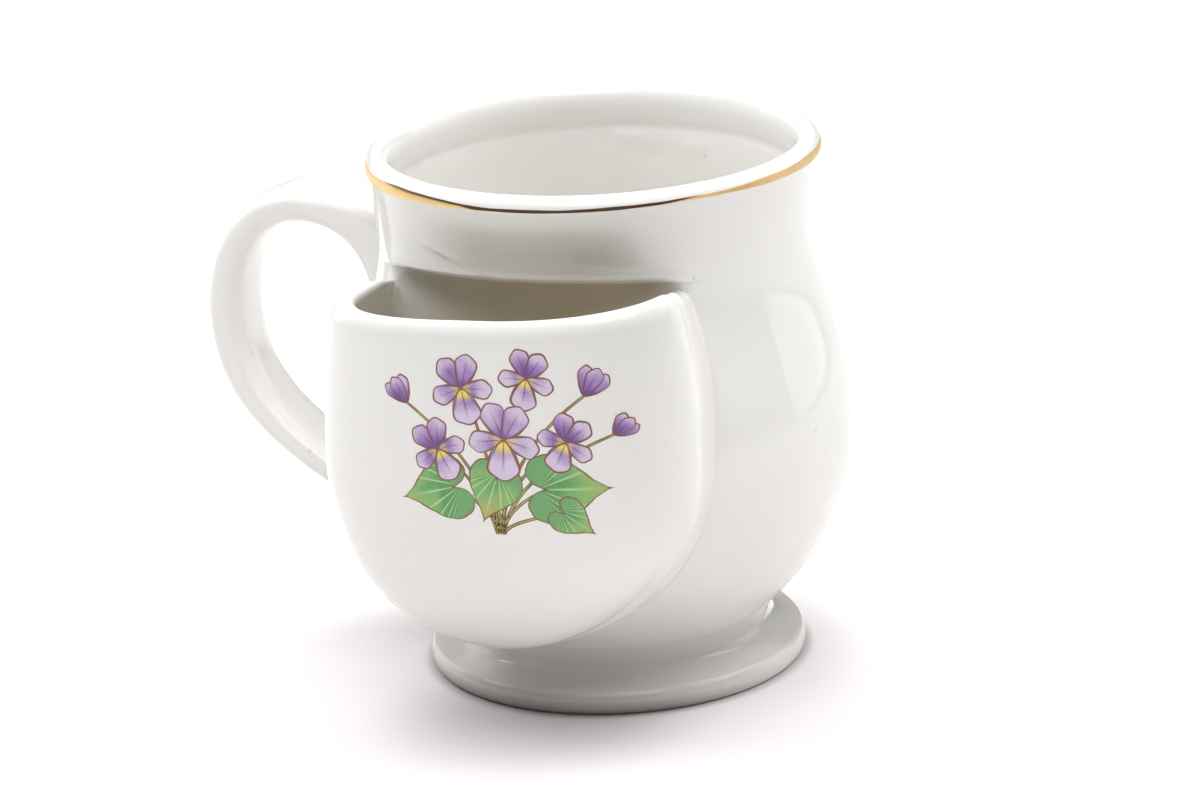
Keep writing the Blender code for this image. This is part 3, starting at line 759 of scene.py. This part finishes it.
# both ends run on into the clay, so that the whole section meets the cup
into_root = [line[0] - heading[0] * k for k in np.linspace(6, 0.5, 12)]
into_heel = [line[-1] + heading[-1] * k for k in np.linspace(0.5, 7, 14)]
line = np.concatenate([into_root, line, into_heel])
thick = np.concatenate([np.full(len(into_root), ROOT_DEEP), thick, np.full(len(into_heel), HEEL_THICK)])
root_heading = np.repeat(heading[:1], len(into_root), 0)
heel_heading = np.repeat(heading[-1:], len(into_heel), 0)
heading = np.concatenate([root_heading, heading, heel_heading])

sweep, given = node_tree(
    "strap_along_its_line",
    "Strap",
    Line="Geometry",
    Sides="Int",
    Width="Float",
    Squareness="Float",
    Axis="Vector",
    Finish="Material",
)
sheet, column, turn = sheet_round(sweep, given["Line"], given["Sides"])
bulge = add(sweep, "ShaderNodeMath", {0: 2.0, 1: given["Squareness"]}, operation="DIVIDE").outputs[0]
halves = []
for side in ("COSINE", "SINE"):
    wave = add(sweep, "ShaderNodeMath", {0: turn}, operation=side).outputs[0]
    size = add(sweep, "ShaderNodeMath", {0: wave}, operation="ABSOLUTE").outputs[0]
    size = add(sweep, "ShaderNodeMath", {0: size, 1: bulge}, operation="POWER").outputs[0]
    sign = add(sweep, "ShaderNodeMath", {0: wave}, operation="SIGN").outputs[0]
    halves.append(add(sweep, "ShaderNodeMath", {0: size, 1: sign}, operation="MULTIPLY").outputs[0])
fields = {"centre": add(sweep, "GeometryNodeInputPosition").outputs[0]}
for label in ("deep_side", "broad_side"):
    fields[label] = add(
        sweep, "GeometryNodeInputNamedAttribute", {"Name": label}, data_type="FLOAT_VECTOR"
    ).outputs[0]
taken = {
    label: add(
        sweep,
        "GeometryNodeSampleIndex",
        {"Geometry": given["Line"], "Value": field, "Index": column},
        data_type="FLOAT_VECTOR",
    ).outputs[0]
    for label, field in fields.items()
}
place = add(
    sweep, "ShaderNodeVectorMath", {0: taken["centre"], 1: given["Axis"]}, operation="ADD"
).outputs[0]
for label, part in (("deep_side", halves[0]), ("broad_side", halves[1])):
    reach = add(
        sweep, "ShaderNodeVectorMath", {0: taken[label], "Scale": part}, operation="SCALE"
    ).outputs[0]
    if label == "broad_side":
        reach = add(
            sweep, "ShaderNodeVectorMath", {0: reach, "Scale": given["Width"]}, operation="SCALE"
        ).outputs[0]
    place = add(sweep, "ShaderNodeVectorMath", {0: place, 1: reach}, operation="ADD").outputs[0]
fired(sweep, sheet, place, given["Finish"])

strap_line = bpy.data.meshes.new("strap_line")
ends = [0] + list(range(len(line))) + [len(line) - 1]
strap_line.from_pydata([(-line[i, 0] * MM, 0, (line[i, 1] + BASE) * MM) for i in ends], [], [])
deep_side = np.array(
    [(heading[i, 1] * thick[i] / 2 * MM, 0, heading[i, 0] * thick[i] / 2 * MM) for i in ends]
)
broad_side = np.tile((0.0, 0.5, 0.0), (len(ends), 1))
deep_side[[0, -1]] = broad_side[[0, -1]] = 0
for label, field in (("deep_side", deep_side), ("broad_side", broad_side)):
    strap_line.attributes.new(label, "FLOAT_VECTOR", "POINT").data.foreach_set("vector", field.ravel())
handle = grown(
    "handle_strap",
    strap_line,
    sweep,
    Sides=STRAP_SIDES,
    Width=STRAP_WIDTH * MM,
    Squareness=STRAP_SQUARE,
    Axis=AXIS,
    Finish=porcelain,
)
co = np.zeros(len(handle.data.vertices) * 3)
handle.data.vertices.foreach_get("co", co)
co = (co.reshape(-1, 3) - np.array(AXIS)) / MM
deepest = cup_radius(co[:, 2] - BASE) - BURIED
outward = np.hypot(co[:, 0], co[:, 1])
co[:, :2] *= np.maximum(1, deepest / np.maximum(outward, 1e-6))[:, None]
handle.data.vertices.foreach_set("co", (co * MM + np.array(AXIS)).ravel())
seated(trued(handle, 60), "glazed_porcelain", "handle")

# Joints of the handle
# The slip round both ends of the strap, pressed into the crease between strap and cup, wiped hollow and
# glazed over.
ROOT_REACH, HEEL_REACH, JOINT_POINTS = 0.9, 1.1, 96


def strap(place, side):
    """Points of the strap for a place along its line, in steps, and an angle round its section."""
    steps = np.arange(len(line))
    centre = np.stack([np.interp(place, steps, line[:, i]) for i in (0, 1)], -1)
    ahead = unit(np.stack([np.interp(place, steps, heading[:, i]) for i in (0, 1)], -1))
    deep = np.interp(place, steps, thick) / 2
    bulge = 2 / STRAP_SQUARE
    up = deep * np.sign(np.cos(side)) * np.abs(np.cos(side)) ** bulge
    across = STRAP_WIDTH / 2 * np.sign(np.sin(side)) * np.abs(np.sin(side)) ** bulge
    return np.stack(
        [-(centre[..., 0] - ahead[..., 1] * up), across, centre[..., 1] + ahead[..., 0] * up + BASE], -1
    )


side = np.radians(np.linspace(0, 360, JOINT_POINTS, endpoint=False))
last = len(line) - 1
for name, node, inner, outer, reach in (
    ("handle_root_joint_slip", "handle_root_slip", 0, 60, ROOT_REACH),
    ("handle_heel_joint_slip", "handle_heel_slip", last, last - 50, HEEL_REACH),
):
    tries = np.linspace(outer, inner, 500)
    clear = np.array([off_cup(strap(p, side)) for p in tries]) > 0
    first = np.argmin(clear, 0)
    near, far = tries[np.maximum(first - 1, 0)], tries[first]
    where = solved(lambda p: off_cup(strap(p, side)), near, far)
    crease = strap(where, side)
    pace = np.linalg.norm(strap(where + 0.05, side) - crease, axis=-1) / 0.05
    forward = np.sign(outer - inner)
    on_strap = strap(where + forward * reach / np.maximum(pace, 0.05), side)
    bead = luted(name, crease, on_strap, np.full(len(side), reach), True)
    bead.data.materials.append(slip_painted_shade)
    seated(bead, "fired_slip", node)

# Gilt line
# A line of burnishing gold drawn with a fine brush on the outside of the rolled lip, on a wheel turned by
# hand, so that its width wavers. It is fired on over the glaze. In front it is thinner, and there its
# colour is painted dark brown as a painted reflection of the dark room before it.
GILT_PROUD, GILT_SUNK = 0.025, 0.06
gilt_bearing = [-180, -120, -90, -48, -33.5, -24, -16, -8, -2, 13, 36, 46, 55, 71, 89, 120, 180]
gilt_top = [
    97.2, 97.2, 97.2, 97.1, 97.45, 97.4, 97.1, 96.88, 96.8, 96.8, 97.08, 97.1, 97.15, 97.3, 97.3, 97.2, 97.2
]
gilt_foot = [
    95.5, 95.5, 95.3, 95.0, 95.6, 95.8, 96.0, 96.18, 96.25, 96.25, 96.5, 96.6, 96.5, 96.1, 95.8, 95.5, 95.5
]
around = np.linspace(-180, 180, 480, endpoint=False)
waver = 0.04 * np.sin(np.radians(around) * 17) + 0.03 * np.sin(np.radians(around) * 41 + 1)
upper = np.interp(around, gilt_bearing, gilt_top) + waver
lower = np.interp(around, gilt_bearing, gilt_foot) - waver * 0.7
for _ in range(12):
    upper = (np.roll(upper, 1) + upper * 2 + np.roll(upper, -1)) / 4
    lower = (np.roll(lower, 1) + lower * 2 + np.roll(lower, -1)) / 4


def lip_radius(z):
    """Outside of the neck and of the outer half of the bead."""
    over = np.clip((z - lip_z) / LIP_OUTER_DROP, 0, 1)
    return np.where(z > lip_z, lip_middle + LIP_HALF * np.sqrt(1 - over**2), cup_radius(z - BASE))


rings, shares = [], []
film_top = [(k, GILT_PROUD) for k in np.linspace(0.06, 0.94, 7)]
for k, proud in [(0, -GILT_SUNK), (0, 0), *film_top, (1, 0), (1, -GILT_SUNK), (0, -GILT_SUNK)]:
    shares.append(k)
    z = lower + (upper - lower) * k
    r = lip_radius(z) + proud
    a = np.radians(around)
    rings.append(np.stack([r * np.sin(a), -r * np.cos(a), z], -1))
# painted reflection: in front the gold is painted dark brown from its upper edge down, for the dark room it
# reflects; away from the handle it lies thinner and is painted a little darker
dark_reflection_reach = np.interp(around, (-42, -36, -20, -12, -6, 38, 50), (0, 0.2, 0.3, 0.42, 1.2, 1.2, 0))
deeper = smooth(46, 62, around) * (1 - smooth(110, 160, around))
worn = [np.maximum(smooth(-0.1, 0.1, k - 1 + dark_reflection_reach), 0.28 * deeper) for k in shares]
gilt = trued(ring_mesh("rim_gilt", rings, worn=worn), 70)
gold, tree = bare_material("burnished_gold_brushed_line")
place = add(tree, "ShaderNodeTexCoord").outputs["Object"]
# fired gold: a warm mirror, a little thinner and redder where the brush ran dry, every 3 mm or so
dry = add(tree, "ShaderNodeTexNoise", {"Vector": place, "Scale": 1 / 0.003, "Detail": 3.0}).outputs["Fac"]
leaf = add(
    tree, "ShaderNodeMix", {0: dry, 6: tone("#FFE3A6"), 7: tone("#F6C97F")}, data_type="RGBA"
).outputs[2]
# painted reflection: where this share is high the gold turns dark brown
worn = add(tree, "ShaderNodeAttribute", attribute_name="worn").outputs["Fac"]
leaf = add(tree, "ShaderNodeMix", {0: worn, 6: leaf, 7: tone("#5A4028")}, data_type="RGBA").outputs[2]
satin = add(tree, "ShaderNodeMapRange", {"Value": dry, "To Min": 0.32, "To Max": 0.5}).outputs["Result"]
shader = add(tree, "ShaderNodeBsdfPrincipled", {"Base Color": leaf, "Roughness": satin, "Metallic": 0.3})
add(tree, "ShaderNodeOutputMaterial", {"Surface": shader.outputs["BSDF"]})
gilt.data.materials.append(gold)
seated(gilt, "fired_gilt", "rim_gilt_line")

# Print on the pocket
# A nosegay of violets in ceramic colours: a transfer that is laid on the glaze and fired on, which leaves a
# film that can barely be felt. Each petal and leaf is a patch of shaded colour with a fine russet line
# round it.
PRINT_SUNK, PRINT_PROUD, PRINT_LAYER = 0.05, 0.014, 0.0012
SHADING_SIZE, STIPPLE_SIZE, PEN_FINE, PEN_PRESSED = 4.0, 0.25, 0.18, 0.38
# each violet: place across, height, breadth and turn in degrees
VIOLETS = (
    (-7.6, 57.6, 11.0, -28),
    (16.2, 60.2, 10.5, 24),
    (-2.6, 69.0, 12.0, -12),
    (9.6, 71.4, 10.5, 10),
    (5.0, 60.2, 13.5, 4),
)
# each leaf: place of its stalk, height, length and the turn of its tip
LEAVES = ((-5.2, 50.8, 10.5, -106), (12.4, 51.6, 11.5, 88), (15.2, 47.2, 6.5, 128), (3.2, 53.0, 9.0, 200))
# each bud: place, height, length and turn
BUDS = ((-13.2, 65.4, 5.2, -34), (19.6, 68.6, 5.6, 30), (24.2, 61.6, 4.4, 52))
STEM_FOOT, STEM_HALF, STEM_TAPER = (3.4, 42.6), 0.36, 0.1
# petals of a violet: turn, length in its breadth, breadth of the petal, rank in the drawing, share of
# yellow at its heart
PETALS = (
    (-27, 0.52, 1.05, 0, 0.0),
    (27, 0.52, 1.05, 1, 0.0),
    (-101, 0.49, 0.95, 2, 0.6),
    (101, 0.49, 0.95, 3, 0.6),
    (180, 0.55, 1.3, 4, 1.0),
)

printing, given = node_tree(
    "transfer_on_the_pocket",
    "Print",
    Marks="Geometry",
    Patch="Object",
    Ground="Object",
    Axis="Vector",
    Sunk="Float",
    Proud="Float",
    Layer="Float",
    Finish="Material",
)
read = {
    label: add(printing, "GeometryNodeInputNamedAttribute", {"Name": label}, data_type="FLOAT").outputs[0]
    for label in ("turn", "size", "broad", "rank", "sheet", "edge")
}
drawn = add(printing, "GeometryNodeObjectInfo", {"Object": given["Patch"]}).outputs["Geometry"]
ground = add(printing, "GeometryNodeObjectInfo", {"Object": given["Ground"]}).outputs["Geometry"]
spin = add(printing, "ShaderNodeCombineXYZ", {1: read["turn"]}).outputs[0]
spin = add(printing, "FunctionNodeEulerToRotation", {0: spin}).outputs[0]
wide = add(printing, "ShaderNodeMath", {0: read["size"], 1: read["broad"]}, operation="MULTIPLY").outputs[0]
grow = add(printing, "ShaderNodeCombineXYZ", {0: wide, 1: read["size"], 2: read["size"]}).outputs[0]
laid = add(
    printing,
    "GeometryNodeInstanceOnPoints",
    {"Points": given["Marks"], "Instance": drawn, "Rotation": spin, "Scale": grow},
).outputs[0]
laid = add(printing, "GeometryNodeRealizeInstances", {0: laid}).outputs[0]
rim = add(printing, "ShaderNodeMath", {0: read["edge"], 1: read["size"]}, operation="MULTIPLY").outputs[0]
laid = add(
    printing,
    "GeometryNodeStoreNamedAttribute",
    {"Geometry": laid, "Name": "rim", "Value": rim},
    data_type="FLOAT",
    domain="POINT",
).outputs[0]
flat = add(
    printing, "ShaderNodeSeparateXYZ", {0: add(printing, "GeometryNodeInputPosition").outputs[0]}
).outputs
start = add(printing, "ShaderNodeCombineXYZ", {0: flat["X"], 1: -0.2, 2: flat["Z"]}).outputs[0]
start = add(printing, "ShaderNodeVectorMath", {0: start, 1: given["Axis"]}, operation="ADD").outputs[0]
struck = add(
    printing,
    "GeometryNodeRaycast",
    {"Target Geometry": ground, "Source Position": start, "Ray Direction": (0, 1, 0), "Ray Length": 1.0},
).outputs
over = add(
    printing,
    "ShaderNodeMath",
    {0: read["rank"], 1: given["Layer"], 2: given["Proud"]},
    operation="MULTIPLY_ADD",
).outputs[0]
under = add(printing, "ShaderNodeMath", {0: given["Sunk"], 1: -1.0}, operation="MULTIPLY").outputs[0]
height = add(printing, "ShaderNodeMix", {0: read["sheet"], 2: under, 3: over}).outputs[0]
shift = add(
    printing, "ShaderNodeVectorMath", {0: struck["Hit Normal"], "Scale": height}, operation="SCALE"
).outputs[0]
spot = add(
    printing, "ShaderNodeVectorMath", {0: struck["Hit Position"], 1: shift}, operation="ADD"
).outputs[0]
laid = add(printing, "GeometryNodeSetPosition", {"Geometry": laid, "Position": spot}).outputs[0]
laid = add(printing, "GeometryNodeSetMaterial", {"Geometry": laid, "Material": given["Finish"]}).outputs[0]
add(printing, "NodeGroupOutput", {0: laid})


def film(name, points, faces, **fields):
    """A flat drawing of film, its points given as (across, along) pairs, with a number for each point in
    each field."""
    mesh = bpy.data.meshes.new(name)
    mesh.from_pydata([(x, 0, y) for x, y in points], [], faces)
    fields["across"], fields["along"] = np.array(points).T
    marked(mesh, **fields)
    return placed(name, mesh)


def patch(name, line, middle):
    """A patch of film inside a drawn line: a fine upper sheet in rings about its middle, and a plain
    underside."""
    line, middle, count = np.array(line), np.array(middle), len(line)
    shares = np.sin(np.radians(np.linspace(0, 90, 11)))[1:]
    upper = [middle + share * (p - middle) for share in shares for p in line]
    points = [middle] + upper + list(line) + [middle]
    last, step = len(points) - 1, lambda i: (i + 1) % count
    faces = [(0, 1 + i, 1 + step(i)) for i in range(count)]
    for ring in range(len(shares)):
        a, b = 1 + ring * count, 1 + (ring + 1) * count
        faces += [(a + i, b + i, b + step(i), a + step(i)) for i in range(count)]
    faces += [(last, 1 + len(shares) * count + step(i), 1 + len(shares) * count + i) for i in range(count)]
    edge = np.linalg.norm(np.array(points)[:, None] - line[None], axis=-1).min(1)
    sheet = np.arange(len(points)) <= len(shares) * count
    return film(name, points, faces, edge=edge, sheet=sheet)


def printed(name, marks, drawing, finish):
    """One colour of the print: its drawing laid at each mark (across, height, turn, size, breadth, rank,
    tint, share of yellow)."""
    marks = np.array(marks, float)
    mesh = bpy.data.meshes.new(name + "_marks")
    mesh.from_pydata([(u * MM, 0, z * MM) for u, z in marks[:, :2]], [], [])
    turn, size, broad, rank, tint, yellow = marks[:, 2:].T
    marked(
        mesh, turn=np.radians(turn), size=size * MM, broad=broad, rank=rank, tint=tint, yellow=yellow
    )
    piece = grown(
        name,
        mesh,
        printing,
        Patch=drawing,
        Ground=pocket,
        Axis=AXIS,
        Sunk=PRINT_SUNK * MM,
        Proud=PRINT_PROUD * MM,
        Layer=PRINT_LAYER * MM,
        Finish=finish,
    )
    bpy.data.objects.remove(drawing)
    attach(trued(piece, 60), "root")
    return piece


def enamel(name, deep, middle, pale, line, eye, vein, vein_mix):
    """Ceramic colour fired into the glaze: stippled shades that run from the heart to the edge of a patch,
    fine veins, a drawn line of its own colour round it, and the gloss of the glaze over all."""
    material, tree = bare_material(name)
    place = add(tree, "ShaderNodeTexCoord").outputs["Object"]
    fields = {
        label: add(tree, "ShaderNodeAttribute", attribute_name=label).outputs["Fac"]
        for label in ("along", "across", "rim", "tint", "yellow")
    }
    # broad clouds carry the shading, a fine stipple roughens it
    clouds, stipple = (
        add(
            tree, "ShaderNodeTexNoise", {"Vector": place, "Scale": 1 / (size * MM), "Detail": 1.0}
        ).outputs["Fac"]
        for size in (SHADING_SIZE, STIPPLE_SIZE)
    )
    soft = fields["along"]
    for field, weight in ((clouds, 0.9), (stipple, 0.35), (fields["tint"], 0.35)):
        soft = add(
            tree, "ShaderNodeMath", {0: field, 1: weight, 2: soft}, operation="MULTIPLY_ADD"
        ).outputs[0]
    # veins spread from the heart and fade before the edge
    apart = add(tree, "ShaderNodeMath", {0: fields["along"], 1: 0.16}, operation="ADD").outputs[0]
    spread = add(tree, "ShaderNodeMath", {0: fields["across"], 1: apart}, operation="DIVIDE").outputs[0]
    spread = add(tree, "ShaderNodeMath", {0: spread, 1: 0.19}, operation="PINGPONG").outputs[0]
    # where each shade starts and ends, and how far it goes
    shares = {
        label: add(
            tree,
            "ShaderNodeMapRange",
            {"Value": value, "From Min": start, "From Max": end, "To Max": most},
            interpolation_type=ease,
        ).outputs["Result"]
        for label, value, start, end, most, ease in (
            ("middle", soft, 0.75, 1.25, 1.0, "SMOOTHSTEP"),
            ("pale", soft, 1.1, 1.75, 1.0, "SMOOTHSTEP"),
            ("heart", fields["along"], 0.42, 0.16, 1.0, "SMOOTHSTEP"),
            ("vein", spread, 0.05, 0.02, 1.0, "LINEAR"),
            ("vein_length", fields["along"], 0.85, 0.3, vein_mix, "LINEAR"),
        )
    }
    heart, veined = (
        add(tree, "ShaderNodeMath", {0: shares[label], 1: held}, operation="MULTIPLY").outputs[0]
        for label, held in (("heart", fields["yellow"]), ("vein", shares["vein_length"]))
    )
    # the drawn line is wider where the pen was pressed
    press = add(
        tree,
        "ShaderNodeMapRange",
        {
            "Value": clouds,
            "From Min": 0.3,
            "From Max": 0.7,
            "To Min": PEN_FINE * MM,
            "To Max": PEN_PRESSED * MM,
        },
    ).outputs["Result"]
    inked = add(tree, "ShaderNodeMath", {0: fields["rim"], 1: press}, operation="DIVIDE").outputs[0]
    inked = add(
        tree, "ShaderNodeMapRange", {"Value": inked, "From Min": 1.15, "From Max": 0.75}
    ).outputs["Result"]
    colour = tone(deep)
    for share, shade in (
        (shares["middle"], middle),
        (shares["pale"], pale),
        (heart, eye),
        (veined, vein),
        (inked, line),
    ):
        colour = add(
            tree, "ShaderNodeMix", {0: share, 6: colour, 7: tone(shade)}, data_type="RGBA"
        ).outputs[2]
    shader = add(tree, "ShaderNodeBsdfPrincipled", {"Base Color": colour, "Roughness": 0.1, "IOR": 1.5})
    add(tree, "ShaderNodeOutputMaterial", {"Surface": shader.outputs["BSDF"]})
    return material


violet_enamel = enamel(
    "ceramic_colour_violet", "#673A8A", "#9C76B9", "#DCCBE5", "#83452C", "#F0DA62", "#532C70", 0.8
)
green_enamel = enamel(
    "ceramic_colour_green", "#4E9A55", "#7DB865", "#B3B05C", "#7B5527", "#C9D98A", "#CFE0A0", 0.7
)

# stems: strips, 0.7 mm wide at the foot of the nosegay, that bow to each flower, leaf and bud
section = [(-1, 1), (-0.5, 1), (0, 1), (0.5, 1), (1, 1), (1, 0), (-1, 0)]
sides = len(section)
points, faces, edge, sheet = [], [], [], []
for number, (u, z, *_) in enumerate(VIOLETS + LEAVES + BUDS):
    ks = np.linspace(0, 1, 36)[:, None]
    foot = np.array(STEM_FOOT) + ((number * 0.43) % 1.7 - 0.8, 0.35 * (number % 3))
    knee = np.array([foot[0] + 0.15 * (u - foot[0]), foot[1] + 0.6 * (z - foot[1])])
    path = foot * (1 - ks) ** 2 + 2 * ks * (1 - ks) * knee + np.array([u, z]) * ks**2
    ahead = unit(np.gradient(path, axis=0))
    broad = np.stack([ahead[:, 1], -ahead[:, 0]], -1) * (STEM_HALF - STEM_TAPER * ks)
    base = len(points)
    for p, b in zip(path, broad):
        points += [p + b * side for side, _ in section]
        edge += [STEM_HALF * (1 - abs(side)) for side, _ in section]
        sheet += [top for _, top in section]
    for i in range(len(path) - 1):
        a, b = base + i * sides, base + (i + 1) * sides
        faces += [(a + j, a + (j + 1) % sides, b + (j + 1) % sides, b + j) for j in range(sides)]
    faces += [tuple(range(base, base + sides)), tuple(range(len(points) - 1, len(points) - 1 - sides, -1))]
stem_drawing = film("stem_drawing", points, faces, edge=edge, sheet=sheet)
printed("print_stems", [(0, 0, 0, 1, 1, 0, 0.5, 0)], stem_drawing, green_enamel)

round_ = np.linspace(0, 2 * np.pi, 72, endpoint=False)
lobe = 13 * np.cos(round_) - 5 * np.cos(2 * round_) - 2 * np.cos(3 * round_) - np.cos(4 * round_)
heart_line = np.stack([0.56 * np.sin(round_) ** 3, (5 - lobe) / 22], -1)
heart_line += 0.012 * np.abs(np.sin(9 * round_))[:, None] * unit(heart_line - (0, 0.35))
marks = [(u, z, turn, size, 1.0, 2 + i, 0.25 * i, 0.0) for i, (u, z, size, turn) in enumerate(LEAVES)]
printed("print_leaves", marks, patch("leaf_drawing", heart_line, (0, 0.33)), green_enamel)

out = 0.5 - 0.5 * np.cos(round_)
petal_line = np.stack([0.42 * np.sin(round_) * (0.3 + 0.7 * out) ** 0.75, out], -1)
petal_line += 0.016 * np.sin(6 * round_ + 1)[:, None] * unit(petal_line - (0, 0.55)) * out[:, None]
marks = [
    (u, z, turn + bend, size * length, broad, 8 + 5 * i + rank, 0.2 * rank + 0.1 * i, yellow)
    for i, (u, z, size, turn) in enumerate(VIOLETS)
    for bend, length, broad, rank, yellow in PETALS
]
marks += [
    (u, z, turn + bend, size, 0.8, 8 + rank, 0.1 * rank, 0.0)
    for u, z, size, turn in BUDS
    for rank, bend in enumerate((-22, 20, 0))
]
printed("print_petals", marks, patch("petal_drawing", petal_line, (0, 0.58)), violet_enamel)

# Floor, light and camera
# A sheet of white paper under softboxes that hang over the middle, the left, the right and the front, with
# two weak ones low behind. The camera is the photograph's: 18 degrees above the horizon, a long lens, with
# a slight roll.
LENS, DISTANCE, RISE_ANGLE, ROLL, TURN = 150.0, 919.5, 17.9, -3.09, 23.1
AIM_RIGHT, AIM_UP = -1.12, -1.25
GLOW = 0.1
PAPER_IN_SHADE, PAPER_LIT, PAPER_SEEN = "#827C7C", "#F0EEEE", "#D6D0D2"
view_turn = Matrix.Rotation(math.radians(TURN), 3, "Z")
floor_mesh = bpy.data.meshes.new("paper_floor")
FLOOR_HALF, FLOOR_BELOW = 6, 5e-5
corners = [(x * FLOOR_HALF, y * FLOOR_HALF, -FLOOR_BELOW) for x, y in ((-1, -1), (1, -1), (1, 1), (-1, 1))]
floor_mesh.from_pydata(corners, [], [(0, 1, 2, 3)])
floor = placed("paper_floor", floor_mesh)
# paper: matt white that takes the pot's soft shadow; to the camera it shines to white further off
paper, tree = bare_material("white_paper_matt")
rays = add(tree, "ShaderNodeLightPath").outputs
across = add(tree, "ShaderNodeTexCoord").outputs["Object"]
# distances over the paper: from the middle of the shadow, from before the foot and from the axis
shadow_middle = AXIS + view_turn @ Vector((-0.016, -0.036, 0))
foot_front = AXIS + view_turn @ Vector((-0.012, -0.026, 0))
from_shadow, from_foot_front, from_axis = (
    add(tree, "ShaderNodeVectorMath", {0: across, 1: spot}, operation="DISTANCE").outputs["Value"]
    for spot in (shadow_middle, foot_front, AXIS)
)
ahead = add(tree, "ShaderNodeVectorMath", {0: across, 1: AXIS}, operation="SUBTRACT").outputs[0]
ahead = add(tree, "ShaderNodeVectorMath", {0: ahead}, operation="NORMALIZE").outputs[0]
to_camera = view_turn @ Vector((0, -1, 0))
ahead = add(
    tree, "ShaderNodeVectorMath", {0: ahead, 1: to_camera}, operation="DOT_PRODUCT"
).outputs["Value"]
# how each share of light runs over the paper: where it starts and ends, its least and its most
ramps = {
    label: add(
        tree,
        "ShaderNodeMapRange",
        {"Value": value, "From Min": start, "From Max": end, "To Min": least, "To Max": most},
        interpolation_type="SMOOTHSTEP",
    ).outputs["Result"]
    for label, value, start, end, least, most in (
        ("out_of_shade", from_foot_front, 0.016, 0.048, 0.0, 1.0),
        ("in_front", ahead, 0.3, 0.8, 0.0, 1.0),
        ("clear_of_foot", from_axis, 0.045, 0.075, 0.0, GLOW),
        ("out_of_crevice", from_axis, 0.0345, 0.037, 0.0, 1.0),
        ("near_shadow", from_shadow, 0.012, 0.034, 0.1, 0.25),
        ("past_shadow", from_shadow, 0.05, 0.12, 0.0, 0.63),
    )
}
# what the pot is lit by: the paper before its foot is painted dark as painted shade, and further off in
# front it gives off a painted glow
colour = tone(PAPER_IN_SHADE)
for share, shade in ((ramps["out_of_shade"], PAPER_LIT), (rays["Is Camera Ray"], PAPER_SEEN)):
    colour = add(tree, "ShaderNodeMix", {0: share, 6: colour, 7: tone(shade)}, data_type="RGBA").outputs[2]
matt = add(tree, "ShaderNodeBsdfDiffuse", {"Color": colour})
glow, far = (
    add(tree, "ShaderNodeMath", {0: ramps[one], 1: ramps[other]}, operation=way).outputs[0]
    for one, other, way in (
        ("in_front", "clear_of_foot", "MULTIPLY"), ("near_shadow", "past_shadow", "ADD")
    )
)
far = add(tree, "ShaderNodeMath", {0: far, 1: ramps["out_of_crevice"]}, operation="MULTIPLY").outputs[0]
# what the paper gives off: to the camera its white lift, in reflections half glow and half lift, and to
# everything else only the painted glow
seen = add(
    tree,
    "ShaderNodeMath",
    {0: rays["Is Glossy Ray"], 1: 0.5, 2: rays["Is Camera Ray"]},
    operation="MULTIPLY_ADD",
).outputs[0]
lift = add(tree, "ShaderNodeMix", {0: seen, 2: glow, 3: far}).outputs[0]
white = add(tree, "ShaderNodeEmission", {"Color": tone("#FFFFFF"), "Strength": lift})
both = add(tree, "ShaderNodeAddShader", {0: matt.outputs[0], 1: white.outputs[0]})
add(tree, "ShaderNodeOutputMaterial", {"Surface": both.outputs[0]})
floor_mesh.materials.append(paper)

room = bpy.data.worlds.new("white_room")
scene.world = room
room.use_nodes = True
tree = room.node_tree
tree.nodes.clear()
sky = add(tree, "ShaderNodeBackground", {"Color": tone("#FFFEFC"), "Strength": 0.03})
add(tree, "ShaderNodeOutputWorld", {"Surface": sky.outputs[0]})

MIDDLE = AXIS + Vector((0, 0, 0.05))
for name, spot, size, power in (
    ("middle_overhead_softbox", (0.0, 0.06, 0.72), (0.5, 0.5), 3.6),
    ("left_overhead_softbox", (-0.5, 0.06, 0.72), (0.5, 0.5), 3.35),
    ("right_overhead_softbox", (0.5, 0.06, 0.72), (0.5, 0.5), 2.6),
    ("front_overhead_softbox", (0.0, -0.42, 0.72), (0.5, 0.5), 2.2),
    ("left_rear_softbox", (-0.6, 0.5, 0.25), (0.5, 0.4), 0.7),
    ("right_rear_softbox", (0.72, 0.22, 0.22), (0.5, 0.4), 0.8),
):
    lamp = bpy.data.lights.new(name, "AREA")
    lamp.shape = "RECTANGLE"
    lamp.size, lamp.size_y = size
    lamp.energy = power
    holder = placed(name, lamp)
    holder.location = AXIS + view_turn @ Vector(spot)
    holder.rotation_euler = (MIDDLE - holder.location).to_track_quat("-Z", "Y").to_euler()

rise_angle, roll = math.radians(RISE_ANGLE), math.radians(ROLL)
target = Vector((0, 0, 50))
first_look = Vector((0, math.cos(rise_angle), -math.sin(rise_angle)))
spot = target - first_look * DISTANCE
target = target + Vector((AIM_RIGHT, 0, 0)) + Vector((1, 0, 0)).cross(first_look) * AIM_UP
look = (target - spot).normalized()
right = look.cross(Vector((0, 0, 1))).normalized()
up = right.cross(look)
tilted_right = right * math.cos(roll) + up * math.sin(roll)
tilted_up = up * math.cos(roll) - right * math.sin(roll)
pose = Matrix((tilted_right, tilted_up, -look)).transposed().to_4x4()
pose.translation = spot * MM
camera = placed("camera", bpy.data.cameras.new("camera"))
camera.data.lens, camera.data.sensor_width, camera.data.sensor_fit = LENS, 36.0, "HORIZONTAL"
camera.data.clip_start, camera.data.clip_end = 0.05, 20
camera.matrix_world = Matrix.Translation(AXIS) @ Matrix.Rotation(math.radians(TURN), 4, "Z") @ pose
scene.camera = camera
scene.view_settings.view_transform = "Standard"
